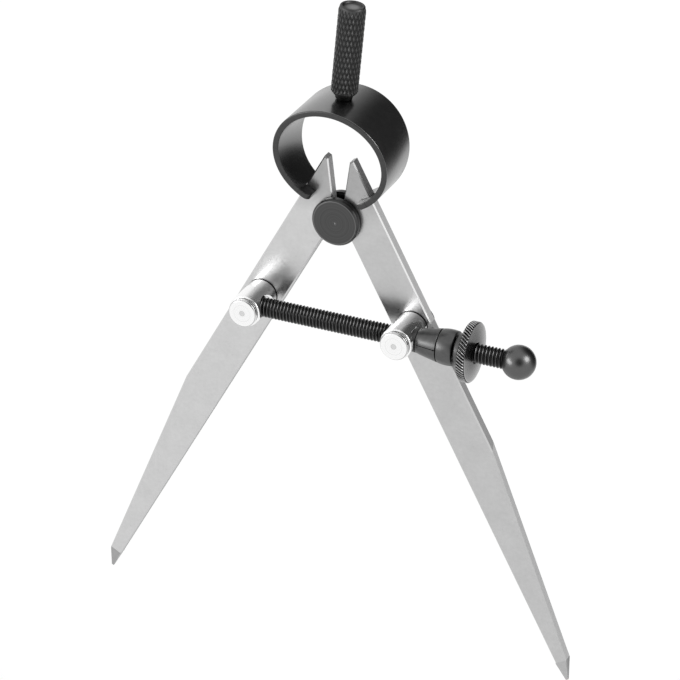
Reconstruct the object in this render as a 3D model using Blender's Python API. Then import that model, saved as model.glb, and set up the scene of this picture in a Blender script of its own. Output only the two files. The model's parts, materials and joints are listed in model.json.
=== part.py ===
"""Spring divider with a bow spring, 150 mm legs, an adjusting screw and a quick-release nut.

The divider lies on its back. The legs are flat in X and Y, their points reach towards -Y and the grip
towards +Y, and the two posts with the screw stand up on the +Z side. Left is -X and right is +X. Each
piece is modelled about its own axis and hangs on an empty that stands on its joint. Units are metres.
"""

import math

import bmesh
import bpy
from mathutils import Matrix, Vector

# Running clearances between pieces
SEAT_GAP = 0.0003
THREAD_GAP = 0.00015
CUT_OVERRUN = 0.002

# Legs
OPENING_HALF_ANGLE = math.radians(28.57)
LEG_LENGTH = 0.150
LEG_OUTER_EDGE = 0.01252
LEG_INNER_EDGE = 0.00089
LEG_THICKNESS = 0.0032
LEG_ARRIS = 0.00045
LEG_TAPER_START = 0.0771
LEG_TAPER_END_EDGE = 0.00378
POINT_BEVEL_LENGTH = 0.0065
POINT_WIDTH = 0.0007
POINT_THICKNESS = 0.0007
TONGUE_LENGTH = 0.0141
TONGUE_END_WIDTH = 0.0012
TONGUE_EDGE_ANGLE = math.radians(36.0)

# Fulcrum between the legs
ROLLER_RADIUS = 0.0040
ROLLER_BORE_RADIUS = 0.0023
DISC_RADIUS = 0.0069
DISC_THICKNESS = 0.0020
DISC_CHAMFER = 0.0005
DISC_DIMPLE_RADIUS = 0.0004
DISC_DIMPLE_DEPTH = 0.0003
FULCRUM_RIVET_HEAD = 0.0004

# Bow spring
BOW_HALF_WIDTH_X = 0.01681
BOW_HALF_HEIGHT = 0.01574
BOW_CENTRE_Y = 0.02004
BOW_WALL = 0.0017
BOW_SIDE_HALF_WIDTH = 0.0080
BOW_CROWN_FLARE = 0.00265
BOW_END_ANGLE = math.radians(26.0)
BOW_END_CORNER = 0.0016
BOW_CORNER_STEPS = 4
BOW_ARC_STEPS = 60
BOW_ROOT_TOLERANCE = math.radians(0.001)

# Grip on the crown of the bow
GRIP_RADIUS = 0.00360
GRIP_LENGTH = 0.0259
GRIP_LEAN = math.radians(4.65)
GRIP_FOOT_OFFSET_X = 0.00053
GRIP_LOWER_CHAMFER = 0.0012
GRIP_UPPER_CHAMFER = 0.0007
GRIP_DISH_RADIUS = 0.0026
GRIP_DISH_DEPTH = 0.0005
NECK_RADIUS = 0.0024
NECK_LENGTH = 0.0004
STUD_RADIUS = 0.0020
STUD_REACH = 0.0090
STUD_HEAD_RADIUS = 0.0028
STUD_HEAD_THICKNESS = 0.0009

# Swivel posts
POST_ALONG_LEG = 0.0353
POST_RADIUS = 0.0046
POST_HEIGHT = 0.0132
POST_SHOULDER_CHAMFER = 0.0003
POST_GROOVE_RADIUS = 0.0037
POST_GROOVE_WIDTH = 0.0004
POST_HEAD_RADIUS = 0.00415
POST_HEAD_THICKNESS = 0.0010
POST_HEAD_CHAMFER = 0.0003
POST_DIMPLE_RADIUS = 0.0008
POST_DIMPLE_DEPTH = 0.0003
POST_TAIL_RADIUS = 0.0020
POST_TAIL_STAND = 0.0003
WASHER_RADIUS = 0.0050
WASHER_THICKNESS = 0.0012

# Adjusting screw and its ball end
SCREW_AXIS_HEIGHT = 0.0085
SCREW_RADIUS = 0.00278
THREAD_DEPTH = 0.00045
THREAD_PITCH = 0.0010
SCREW_TAIL = 0.0034
BALL_CENTRE_X = 0.0568
BALL_RADIUS = 0.0049
BALL_SEAT_DEPTH = 0.0029
THREAD_SIDES = 10

# Quick-release nut, from the washer that seats on the right post to the wheel
SPOT_FACE_REACH = 0.0033
SPOT_FACE_RADIUS = 0.0036
SEAT_WASHER_RADIUS = 0.0033
SEAT_WASHER_THICKNESS = 0.0010
JAW_NOSE_RADIUS = 0.00325
JAW_NOSE_CHAMFER = 0.0001
JAW_REAR_RADIUS = 0.00475
JAW_CONE_LENGTH = 0.0062
JAW_SPIGOT_RADIUS = 0.00345
JAW_SPIGOT_LENGTH = 0.0010
JAW_SPLIT_HALF_ANGLE = math.radians(4.0)
JAW_SPLIT_TURN = math.radians(173.0)
RING_WIRE_RADIUS = 0.00020
COLLAR_LENGTH = 0.0042
COLLAR_FRONT_RADIUS = 0.0048
COLLAR_MIDDLE_RADIUS = 0.00505
COLLAR_REAR_RADIUS = 0.00465
COLLAR_CHAMFER = 0.0001
HUB_GROOVE_WIDTH = 0.0005
HUB_GROOVE_RADIUS = 0.0038
HUB_LENGTH = 0.0020
HUB_RADIUS = 0.0045
WHEEL_RADIUS = 0.00877
WHEEL_THICKNESS = 0.00255
WHEEL_CHAMFER = 0.0003
WHEEL_RECESS_RADIUS = 0.0072
WHEEL_RECESS_DEPTH = 0.0002

# Facets of the round pieces
LARGE_SIDES = 48
MEDIUM_SIDES = 36
SMALL_SIDES = 24
BALL_RINGS = 14
WIRE_SIDES = 8
SMOOTH_BELOW = math.radians(32.0)


class Finish:
    """A plain surface colour with its roughness and metallic value."""

    def __init__(self, name, colour, roughness, metallic):
        self.name = name
        self.colour = colour
        self.roughness = roughness
        self.metallic = metallic

    def material(self):
        """The Blender material of this finish, made on first use."""
        made = bpy.data.materials.get(self.name)
        if made:
            return made
        made = bpy.data.materials.new(self.name)
        made.use_nodes = True
        shader = made.node_tree.nodes["Principled BSDF"]
        shader.inputs["Base Color"].default_value = (*self.colour, 1.0)
        shader.inputs["Roughness"].default_value = self.roughness
        shader.inputs["Metallic"].default_value = self.metallic
        made.diffuse_color = (*self.colour, 1.0)
        return made


GROUND_STEEL = Finish("ground_steel", (0.60, 0.60, 0.60), 0.38, 1.0)
BRIGHT_STEEL = Finish("bright_steel", (0.80, 0.80, 0.80), 0.18, 1.0)
BLACK_OXIDE = Finish("black_oxide", (0.035, 0.035, 0.037), 0.35, 0.6)
DARK_STEEL = Finish("dark_steel", (0.09, 0.09, 0.09), 0.40, 0.6)


def clear_scene():
    for old in list(bpy.data.objects):
        bpy.data.objects.remove(old, do_unlink=True)


def empty(name, parent, location=(0, 0, 0), rotation=(0, 0, 0)):
    """An axis that pieces hang on."""
    axis = bpy.data.objects.new(name, None)
    bpy.context.scene.collection.objects.link(axis)
    axis.parent = parent
    axis.location = location
    axis.rotation_euler = rotation
    return axis


def piece(name, shape, finish, parent, location=(0, 0, 0), rotation=(0, 0, 0)):
    """An object from a closed bmesh, with its faces turned outwards and shaded smooth."""
    bmesh.ops.recalc_face_normals(shape, faces=shape.faces)
    mesh = bpy.data.meshes.new(name)
    shape.to_mesh(mesh)
    shape.free()
    mesh.shade_smooth()
    mesh.set_sharp_from_angle(angle=SMOOTH_BELOW)
    made = bpy.data.objects.new(name, mesh)
    bpy.context.scene.collection.objects.link(made)
    made.data.materials.append(finish.material())
    made.parent = parent
    made.location = location
    made.rotation_euler = rotation
    return made


def cutter(name, shape, parent, location=(0, 0, 0), rotation=(0, 0, 0)):
    """A helper solid that only removes material."""
    made = piece(name, shape, GROUND_STEEL, parent, location, rotation)
    made.hide_render = True
    made.display_type = "WIRE"
    return made


def cut(target, tool):
    modifier = target.modifiers.new("cut_" + tool.name, "BOOLEAN")
    modifier.operation = "DIFFERENCE"
    modifier.solver = "EXACT"
    modifier.object = tool


def turned(profile, sides, start=0.0, sweep=math.tau):
    """A solid turned about Z from (radius, height) points that run round its section.

    A full turn wraps onto itself. A part turn is closed by its section at both ends. A point of zero
    radius becomes one vertex on the axis.
    """
    shape = bmesh.new()
    full = math.isclose(sweep, math.tau)
    columns = sides if full else sides + 1
    rings = []
    for radius, height in profile:
        if radius == 0:
            rings.append([shape.verts.new((0, 0, height))] * columns)
            continue
        ring = []
        for column in range(columns):
            angle = start + sweep * column / sides
            ring.append(shape.verts.new((radius * math.cos(angle), radius * math.sin(angle), height)))
        rings.append(ring)
    for lower, upper in zip(rings, rings[1:] + rings[:1]):
        for column in range(sides):
            after = (column + 1) % columns
            corners = []
            for corner in (lower[column], lower[after], upper[after], upper[column]):
                if corner not in corners:
                    corners.append(corner)
            if len(corners) > 2:
                shape.faces.new(corners)
    if not full:
        shape.faces.new([ring[0] for ring in rings])
        shape.faces.new([ring[-1] for ring in reversed(rings)])
    return shape


def rod(radius, low, high):
    """A plain round bar along Z."""
    return turned([(0, low), (radius, low), (radius, high), (0, high)], SMALL_SIDES)


def pipe(radius, bore, low, high):
    """A plain round sleeve along Z."""
    return turned([(bore, low), (radius, low), (radius, high), (bore, high)], SMALL_SIDES)


def ball(radius, sides, rings):
    """A sphere about the origin, with its poles on Z."""
    angles = [math.pi * (ring / rings - 1 / 2) for ring in range(1, rings)]
    middle = [(radius * math.cos(angle), radius * math.sin(angle)) for angle in angles]
    return turned([(0, -radius)] + middle + [(0, radius)], sides)


def leg_outer_edge(along):
    """How far the outer edge stands out from the line through the fulcrum, at a place along the leg."""
    if along <= LEG_TAPER_START:
        return LEG_OUTER_EDGE
    share = (along - LEG_TAPER_START) / (LEG_LENGTH - LEG_TAPER_START)
    return LEG_OUTER_EDGE + share * (LEG_TAPER_END_EDGE - LEG_OUTER_EDGE)


def leg_body_outline():
    """The flat outline of a right leg as (along, outwards) points, from its bevel's start round to it."""
    notch = ROLLER_RADIUS + SEAT_GAP
    bevel_start = LEG_LENGTH - POINT_BEVEL_LENGTH
    end_inner = LEG_OUTER_EDGE - TONGUE_END_WIDTH
    # The tongue's inner edge runs back from its end until it meets the notch round the roller.
    slope = Vector((math.cos(TONGUE_EDGE_ANGLE), -math.sin(TONGUE_EDGE_ANGLE)))
    end = Vector((-TONGUE_LENGTH, end_inner))
    half = end.dot(slope)
    run = -half - math.sqrt(half * half - end.length_squared + notch * notch)
    meet = end + slope * run
    first = math.asin(LEG_INNER_EDGE / notch)
    last = math.atan2(meet.y, meet.x)
    steps = SMALL_SIDES // 2
    arc = []
    for step in range(steps + 1):
        angle = first + (last - first) * step / steps
        arc.append((notch * math.cos(angle), notch * math.sin(angle)))
    return (
        [(bevel_start, LEG_INNER_EDGE)]
        + arc
        + [(-TONGUE_LENGTH, end_inner), (-TONGUE_LENGTH, LEG_OUTER_EDGE)]
        + [(LEG_TAPER_START, LEG_OUTER_EDGE), (bevel_start, leg_outer_edge(bevel_start))]
    )


def leg_shape(side):
    """A flat leg whose last stretch is ground down to a blunt point."""
    shape = bmesh.new()
    half = LEG_THICKNESS / 2
    outline = leg_body_outline()
    front = [shape.verts.new((along, side * out, half)) for along, out in outline]
    back = [shape.verts.new((along, side * out, -half)) for along, out in outline]
    rims = [shape.faces.new(front), shape.faces.new(back)]
    for here in range(len(outline) - 1):
        shape.faces.new((front[here], front[here + 1], back[here + 1], back[here]))
    tip = []
    for out in (LEG_INNER_EDGE, LEG_INNER_EDGE + POINT_WIDTH):
        for level in (POINT_THICKNESS / 2, -POINT_THICKNESS / 2):
            tip.append(shape.verts.new((LEG_LENGTH, side * out, level)))
    inner_front, inner_back, outer_front, outer_back = tip
    shape.faces.new((front[0], front[-1], outer_front, inner_front))
    shape.faces.new((back[0], back[-1], outer_back, inner_back))
    shape.faces.new((front[0], back[0], inner_back, inner_front))
    shape.faces.new((front[-1], back[-1], outer_back, outer_front))
    shape.faces.new((inner_front, outer_front, outer_back, inner_back))
    edges = {edge for face in rims for edge in face.edges}
    bevel_edge = {front[0], front[-1], back[0], back[-1]}
    edges = [edge for edge in edges if not set(edge.verts) <= bevel_edge]
    bmesh.ops.recalc_face_normals(shape, faces=shape.faces)
    bmesh.ops.bevel(shape, geom=edges, offset=LEG_ARRIS, segments=1, affect="EDGES", clamp_overlap=True)
    return shape


def post_place():
    """Where a post stands on a leg, as (along, outwards): halfway across the leg."""
    return POST_ALONG_LEG, (LEG_OUTER_EDGE + LEG_INNER_EDGE) / 2


def post_centre(side):
    along, out = post_place()
    sine, cosine = math.sin(OPENING_HALF_ANGLE), math.cos(OPENING_HALF_ANGLE)
    return Vector((side * (along * sine + out * cosine), out * sine - along * cosine, 0))


def add_leg(name, side, frame):
    """A leg on the fulcrum's axis, with the hole that its post swivels in."""
    turn = (0, 0, side * OPENING_HALF_ANGLE - math.pi / 2)
    leg = piece(name, leg_shape(side), GROUND_STEEL, frame, rotation=turn)
    along, out = post_place()
    reach = LEG_THICKNESS / 2 + CUT_OVERRUN
    hole = rod(POST_TAIL_RADIUS + SEAT_GAP, -reach, reach)
    cut(leg, cutter(name + "_hole", hole, leg, (along, side * out, 0)))


def add_fulcrum(frame):
    """A flanged stud, the roller that the legs bear on, and the back disc riveted to the stud."""
    inside = LEG_THICKNESS / 2 + SEAT_GAP
    outside = inside + DISC_THICKNESS
    bore = ROLLER_BORE_RADIUS
    spigot = bore - SEAT_GAP
    stud = turned(
        [
            (0, -outside - FULCRUM_RIVET_HEAD),
            (spigot, -outside - FULCRUM_RIVET_HEAD),
            (spigot, inside),
            (DISC_RADIUS, inside),
            (DISC_RADIUS, outside - DISC_CHAMFER),
            (DISC_RADIUS - DISC_CHAMFER, outside),
            (DISC_DIMPLE_RADIUS, outside),
            (0, outside - DISC_DIMPLE_DEPTH),
        ],
        MEDIUM_SIDES,
    )
    piece("fulcrum_stud", stud, DARK_STEEL, frame)
    half = LEG_THICKNESS / 2
    piece("fulcrum_roller", pipe(ROLLER_RADIUS, bore, -half, half), DARK_STEEL, frame)
    disc = turned(
        [
            (bore, -inside),
            (bore, -outside),
            (DISC_RADIUS - DISC_CHAMFER, -outside),
            (DISC_RADIUS, DISC_CHAMFER - outside),
            (DISC_RADIUS, -inside),
        ],
        MEDIUM_SIDES,
    )
    piece("fulcrum_back_disc", disc, DARK_STEEL, frame)


def bow_point(angle, inset):
    """A point of the bow's section, at an angle up from +X about its centre."""
    across = (BOW_HALF_WIDTH_X - inset) * math.cos(angle)
    return across, BOW_CENTRE_Y + (BOW_HALF_HEIGHT - inset) * math.sin(angle)


def bow_mean_radius():
    return (BOW_HALF_WIDTH_X + BOW_HALF_HEIGHT) / 2


def bow_root_angle():
    """Where the slot for the leg ends: its wall clears the leg's outer edge by the seat gap."""
    outwards = Vector((math.cos(OPENING_HALF_ANGLE), math.sin(OPENING_HALF_ANGLE)))
    low, high = BOW_END_ANGLE - math.pi / 2, 0.0
    while high - low > BOW_ROOT_TOLERANCE:
        middle = (low + high) / 2
        nearest = min(Vector(bow_point(middle, inset)).dot(outwards) for inset in (0, BOW_WALL))
        if nearest < LEG_OUTER_EDGE + SEAT_GAP:
            low = middle
        else:
            high = middle
    return high


def bow_half_width(angle, from_end):
    """Half the strip's width: widest at the crown, rounded off at the corners of its ends."""
    half = BOW_SIDE_HALF_WIDTH + BOW_CROWN_FLARE * math.sin(angle)
    if from_end >= BOW_END_CORNER:
        return half
    missing = BOW_END_CORNER - from_end
    return half - BOW_END_CORNER + math.sqrt(BOW_END_CORNER * BOW_END_CORNER - missing * missing)


def bow_angles():
    """The stations round the strip from its right end over the crown to its left end."""
    end = BOW_END_ANGLE - math.pi / 2
    root = bow_root_angle()
    corner = BOW_END_CORNER / bow_mean_radius()
    half = [end + corner * step / BOW_CORNER_STEPS for step in range(BOW_CORNER_STEPS)]
    half += [end + corner, root]
    steps = BOW_ARC_STEPS // 2
    half += [root + (math.pi / 2 - root) * step / steps for step in range(1, steps)]
    mirrored = [math.pi - angle for angle in reversed(half)]
    return half + [math.pi / 2] + mirrored


def bow_shape():
    """The spring strip with a slot in each end that straddles a leg."""
    shape = bmesh.new()
    slot = LEG_THICKNESS / 2 + SEAT_GAP
    angles = bow_angles()
    root = bow_root_angle()
    grid = []
    for angle in angles:
        from_end = bow_mean_radius() * min(angle - angles[0], angles[-1] - angle)
        half = bow_half_width(angle, from_end)
        levels = (-half, -slot, slot, half)
        walls = [bow_point(angle, inset) for inset in (0, BOW_WALL)]
        grid.append([[shape.verts.new((x, y, level)) for level in levels] for x, y in walls])

    def solid(station, strip):
        """Whether the strip's cell holds material: the middle one is missing along each slot."""
        if not 0 <= station < len(angles) - 1 or not 0 <= strip < 3:
            return False
        middle = (angles[station] + angles[station + 1]) / 2
        return strip != 1 or root < middle < math.pi - root

    for station in range(len(angles) - 1):
        here, after = grid[station], grid[station + 1]
        for strip in range(3):
            if not solid(station, strip):
                continue
            for wall in (0, 1):
                low, high = strip, strip + 1
                shape.faces.new((here[wall][low], here[wall][high], after[wall][high], after[wall][low]))
            for line, beyond in ((strip, strip - 1), (strip + 1, strip + 1)):
                if not solid(station, beyond):
                    shape.faces.new((here[0][line], here[1][line], after[1][line], after[0][line]))
            for row, beyond in ((here, station - 1), (after, station + 1)):
                if not solid(beyond, strip):
                    shape.faces.new((row[0][strip], row[0][strip + 1], row[1][strip + 1], row[1][strip]))
    return shape


def add_bow(frame, grip_axis):
    bow = piece("bow_spring", bow_shape(), BLACK_OXIDE, frame)
    reach = BOW_WALL + CUT_OVERRUN
    hole = rod(STUD_RADIUS + SEAT_GAP, -reach, reach)
    cut(bow, cutter("bow_spring_hole", hole, grip_axis))


def grip_foot():
    """Where the grip's axis meets the crown of the bow."""
    share = GRIP_FOOT_OFFSET_X / BOW_HALF_WIDTH_X
    height = BOW_CENTRE_Y + BOW_HALF_HEIGHT * math.sqrt(1 - share * share)
    return Vector((GRIP_FOOT_OFFSET_X, height, 0))


def stud_head_drop():
    """How far the bow's inner face falls away under the stud's flat head, with the grip's lean."""
    share = (STUD_HEAD_RADIUS + GRIP_FOOT_OFFSET_X) / (BOW_HALF_WIDTH_X - BOW_WALL)
    fall = (BOW_HALF_HEIGHT - BOW_WALL) * (1 - math.sqrt(1 - share * share))
    return fall + STUD_HEAD_RADIUS * math.sin(GRIP_LEAN)


def add_grip(grip_axis):
    """The grip with its blind bore, and the stud that holds it through the crown."""
    neck_low = SEAT_GAP
    neck_high = neck_low + NECK_LENGTH
    low = neck_high + SEAT_GAP
    high = low + GRIP_LENGTH
    bore = STUD_RADIUS + SEAT_GAP
    grip = turned(
        [
            (bore, low),
            (GRIP_RADIUS - GRIP_LOWER_CHAMFER, low),
            (GRIP_RADIUS, low + GRIP_LOWER_CHAMFER),
            (GRIP_RADIUS, high - GRIP_UPPER_CHAMFER),
            (GRIP_RADIUS - GRIP_UPPER_CHAMFER, high),
            (GRIP_DISH_RADIUS, high),
            (0, high - GRIP_DISH_DEPTH),
            (0, low + STUD_REACH + SEAT_GAP),
            (bore, low + STUD_REACH + SEAT_GAP),
        ],
        MEDIUM_SIDES,
    )
    piece("grip", grip, BLACK_OXIDE, grip_axis)
    head_high = -BOW_WALL - SEAT_GAP - stud_head_drop()
    stud = turned(
        [
            (0, head_high - STUD_HEAD_THICKNESS),
            (STUD_HEAD_RADIUS, head_high - STUD_HEAD_THICKNESS),
            (STUD_HEAD_RADIUS, head_high),
            (STUD_RADIUS, head_high),
            (STUD_RADIUS, neck_low),
            (NECK_RADIUS, neck_low),
            (NECK_RADIUS, neck_high),
            (STUD_RADIUS, neck_high),
            (STUD_RADIUS, low + STUD_REACH),
            (0, low + STUD_REACH),
        ],
        SMALL_SIDES,
    )
    piece("grip_stud", stud, BLACK_OXIDE, grip_axis)


def post_shape():
    """A turned post: shank, groove and head, with a tail through the leg and its washer."""
    foot = LEG_THICKNESS / 2 + SEAT_GAP
    top = LEG_THICKNESS / 2 + POST_HEIGHT
    head = top - POST_HEAD_THICKNESS
    groove = head - POST_GROOVE_WIDTH
    tail = -LEG_THICKNESS / 2 - SEAT_GAP - WASHER_THICKNESS - POST_TAIL_STAND
    return turned(
        [
            (0, tail),
            (POST_TAIL_RADIUS, tail),
            (POST_TAIL_RADIUS, foot),
            (POST_RADIUS, foot),
            (POST_RADIUS, groove - POST_SHOULDER_CHAMFER),
            (POST_RADIUS - POST_SHOULDER_CHAMFER, groove),
            (POST_GROOVE_RADIUS, groove),
            (POST_GROOVE_RADIUS, head),
            (POST_HEAD_RADIUS, head),
            (POST_HEAD_RADIUS, top - POST_HEAD_CHAMFER),
            (POST_HEAD_RADIUS - POST_HEAD_CHAMFER, top),
            (POST_DIMPLE_RADIUS, top),
            (0, top - POST_DIMPLE_DEPTH),
        ],
        MEDIUM_SIDES,
    )


def screw_bore_radius():
    """A plain hole that the screw passes through: its facets stay clear of the thread's crests."""
    return (SCREW_RADIUS + THREAD_GAP) / math.cos(math.pi / SMALL_SIDES)


def add_post(name, side, frame):
    """A post on its swivel axis, cross-drilled for the screw, and the washer behind the leg."""
    axis = empty(name + "_axis", frame, post_centre(side))
    post = piece(name, post_shape(), BRIGHT_STEEL, axis)
    level = (0, 0, SCREW_AXIS_HEIGHT)
    along_x = (0, math.pi / 2, 0)
    reach = POST_RADIUS + CUT_OVERRUN
    cut(post, cutter(name + "_hole", rod(screw_bore_radius(), -reach, reach), axis, level, along_x))
    if side > 0:
        spot_face = rod(SPOT_FACE_RADIUS, SPOT_FACE_REACH, reach)
        cut(post, cutter(name + "_spot_face", spot_face, axis, level, along_x))
    back = -LEG_THICKNESS / 2 - SEAT_GAP
    washer = pipe(WASHER_RADIUS, POST_TAIL_RADIUS + SEAT_GAP, back - WASHER_THICKNESS, back)
    piece(name + "_washer", washer, BRIGHT_STEEL, axis)
    return axis


def thread_shape(length):
    """A threaded rod along Z from zero: one crest line and one root line wind along it together."""
    shape = bmesh.new()
    rows = 2 * int(length / THREAD_PITCH - 1)
    radii = (SCREW_RADIUS - THREAD_DEPTH, SCREW_RADIUS)
    lines = []
    for row in range(rows + 1):
        line = []
        for column in range(THREAD_SIDES):
            angle = math.tau * column / THREAD_SIDES
            height = THREAD_PITCH * (row / 2 + column / THREAD_SIDES)
            radius = radii[row % 2]
            line.append(shape.verts.new((radius * math.cos(angle), radius * math.sin(angle), height)))
        lines.append(line)
    # A pitch is two rows, so the last column of a row meets the first column two rows on.
    for row in range(rows):
        for column in range(THREAD_SIDES - 1):
            low, high = lines[row], lines[row + 1]
            shape.faces.new((low[column], low[column + 1], high[column + 1], high[column]))
        if row + 3 <= rows:
            seam = (lines[row][-1], lines[row + 2][0], lines[row + 3][0], lines[row + 1][-1])
            shape.faces.new(seam)
    first = lines[0] + [lines[2][0], lines[1][0]]
    last = lines[rows] + [lines[rows - 1][-1], lines[rows - 2][-1]]
    for loop, height in ((first, 0), (last, THREAD_PITCH * (rows / 2 + 1))):
        centre = shape.verts.new((0, 0, height))
        for here, after in zip(loop, loop[1:] + loop[:1]):
            shape.faces.new((here, after, centre))
    return shape


def add_screw(left_axis):
    """The threaded rod fixed in the left post, with the ball on its right end."""
    level = Vector((0, 0, SCREW_AXIS_HEIGHT))
    from_post = BALL_CENTRE_X - post_centre(-1).x
    seat = from_post - BALL_RADIUS + BALL_SEAT_DEPTH
    length = SCREW_TAIL + seat - SEAT_GAP
    along_x = (0, math.pi / 2, 0)
    start = level - Vector((SCREW_TAIL, 0, 0))
    piece("adjusting_screw", thread_shape(length), BLACK_OXIDE, left_axis, start, along_x)
    knob_place = level + Vector((from_post, 0, 0))
    knob = piece("ball_knob", ball(BALL_RADIUS, SMALL_SIDES, BALL_RINGS), BLACK_OXIDE, left_axis, knob_place, along_x)
    seat_low = -BALL_RADIUS - CUT_OVERRUN
    bore = rod(screw_bore_radius(), seat_low, BALL_SEAT_DEPTH - BALL_RADIUS)
    cut(knob, cutter("ball_knob_bore", bore, left_axis, knob_place, along_x))


def jaw_section(bore):
    """The split cone's section, with the spigot that its ring closes on."""
    spigot_end = JAW_CONE_LENGTH + JAW_SPIGOT_LENGTH
    return [
        (bore, 0),
        (JAW_NOSE_RADIUS - JAW_NOSE_CHAMFER, 0),
        (JAW_NOSE_RADIUS, JAW_NOSE_CHAMFER),
        (JAW_REAR_RADIUS, JAW_CONE_LENGTH),
        (JAW_SPIGOT_RADIUS, JAW_CONE_LENGTH),
        (JAW_SPIGOT_RADIUS, spigot_end),
        (bore, spigot_end),
    ]


def ring_shape(radius, wire, height):
    """A closed ring of round wire."""
    section = []
    for step in range(WIRE_SIDES):
        angle = math.tau * step / WIRE_SIDES
        section.append((radius + wire * math.cos(angle), height + wire * math.sin(angle)))
    return turned(section, SMALL_SIDES)


def add_jaws(axis, bore):
    """The two half nuts and the wire ring that closes them on the screw."""
    half_turn = math.pi - 2 * JAW_SPLIT_HALF_ANGLE
    first = JAW_SPLIT_TURN + JAW_SPLIT_HALF_ANGLE
    for name, start in (("nut_jaw_upper", first - math.pi), ("nut_jaw_lower", first)):
        piece(name, turned(jaw_section(bore), SMALL_SIDES // 2, start, half_turn), BLACK_OXIDE, axis)
    middle = JAW_CONE_LENGTH + SEAT_GAP + JAW_SPIGOT_LENGTH / 2 - RING_WIRE_RADIUS
    ring_radius = (JAW_SPIGOT_RADIUS + SEAT_GAP + RING_WIRE_RADIUS) / math.cos(math.pi / SMALL_SIDES)
    piece("jaw_ring", ring_shape(ring_radius, RING_WIRE_RADIUS, middle), BLACK_OXIDE, axis)
    return ring_radius + RING_WIRE_RADIUS


def add_collar(axis, bore, pocket):
    """The sleeve behind the jaws, whose pocket holds their spigot and ring. Returns its rear end."""
    low = JAW_CONE_LENGTH + SEAT_GAP
    floor = JAW_CONE_LENGTH + JAW_SPIGOT_LENGTH + SEAT_GAP
    high = low + COLLAR_LENGTH
    section = [
        (pocket, floor),
        (pocket, low),
        (COLLAR_FRONT_RADIUS - COLLAR_CHAMFER, low),
        (COLLAR_FRONT_RADIUS, low + COLLAR_CHAMFER),
        (COLLAR_MIDDLE_RADIUS, (low + high) / 2),
        (COLLAR_REAR_RADIUS, high - COLLAR_CHAMFER),
        (COLLAR_REAR_RADIUS - COLLAR_CHAMFER, high),
        (bore, high),
        (bore, floor),
    ]
    piece("nut_collar", turned(section, MEDIUM_SIDES), BLACK_OXIDE, axis)
    return high


def add_wheel(axis, bore, low):
    """The thumb wheel on its grooved hub."""
    hub_low = low + SEAT_GAP
    groove = hub_low + HUB_GROOVE_WIDTH
    wheel_low = groove + HUB_LENGTH
    wheel_high = wheel_low + WHEEL_THICKNESS
    section = [
        (bore, hub_low),
        (HUB_GROOVE_RADIUS, hub_low),
        (HUB_GROOVE_RADIUS, groove),
        (HUB_RADIUS, groove),
        (HUB_RADIUS, wheel_low),
        (WHEEL_RADIUS - WHEEL_CHAMFER, wheel_low),
        (WHEEL_RADIUS, wheel_low + WHEEL_CHAMFER),
        (WHEEL_RADIUS, wheel_high - WHEEL_CHAMFER),
        (WHEEL_RADIUS - WHEEL_CHAMFER, wheel_high),
        (WHEEL_RECESS_RADIUS, wheel_high),
        (WHEEL_RECESS_RADIUS - WHEEL_RECESS_DEPTH, wheel_high - WHEEL_RECESS_DEPTH),
        (bore, wheel_high - WHEEL_RECESS_DEPTH),
    ]
    piece("thumb_wheel", turned(section, LARGE_SIDES), BLACK_OXIDE, axis)


def add_nut(right_axis):
    """The quick-release nut on the screw and the washer that it bears on. Its Z is the screw's +X."""
    bore = screw_bore_radius()
    along_x = (0, math.pi / 2, 0)
    seat = Vector((SPOT_FACE_REACH + SEAT_GAP, 0, SCREW_AXIS_HEIGHT))
    washer = pipe(SEAT_WASHER_RADIUS, bore, 0, SEAT_WASHER_THICKNESS)
    piece("seat_washer", washer, BLACK_OXIDE, right_axis, seat, along_x)
    nose = seat + Vector((SEAT_WASHER_THICKNESS + SEAT_GAP, 0, 0))
    axis = empty("nut_axis", right_axis, nose, along_x)
    pocket = add_jaws(axis, bore) + SEAT_GAP / 2
    add_wheel(axis, bore, add_collar(axis, bore, pocket))


def settle(frame):
    """Puts the model's origin under the middle of its box, with its lowest face on the ground."""
    bpy.context.view_layer.update()
    graph = bpy.context.evaluated_depsgraph_get()
    points = []
    for made in bpy.context.scene.objects:
        if made.type == "MESH" and not made.hide_render:
            solid = made.evaluated_get(graph)
            points += [solid.matrix_world @ vertex.co for vertex in solid.data.vertices]
    low = [min(point[axis] for point in points) for axis in range(3)]
    high = [max(point[axis] for point in points) for axis in range(3)]
    frame.location = (-(low[0] + high[0]) / 2, -(low[1] + high[1]) / 2, -low[2])


def main():
    clear_scene()
    frame = empty("divider_frame", None)
    lean = Matrix.Rotation(-GRIP_LEAN, 4, "Z") @ Matrix.Rotation(-math.pi / 2, 4, "X")
    grip_axis = empty("grip_axis", frame, grip_foot(), lean.to_euler())
    add_bow(frame, grip_axis)
    add_grip(grip_axis)
    add_fulcrum(frame)
    add_leg("left_leg", -1, frame)
    add_leg("right_leg", 1, frame)
    left_axis = add_post("left_post", -1, frame)
    right_axis = add_post("right_post", 1, frame)
    add_screw(left_axis)
    add_nut(right_axis)
    settle(frame)


main()
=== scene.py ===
"""A spring divider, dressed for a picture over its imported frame.

The divider lies on its back: the legs point towards -Y, the grip towards +Y, and the posts with the
adjusting screw stand up on the +Z side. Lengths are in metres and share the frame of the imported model.
"""

from __future__ import annotations

import json
import logging
import math
from collections.abc import Callable
from dataclasses import dataclass, replace
from enum import Enum, IntEnum

import bmesh
import bpy
from mathutils import Matrix, Vector

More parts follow.
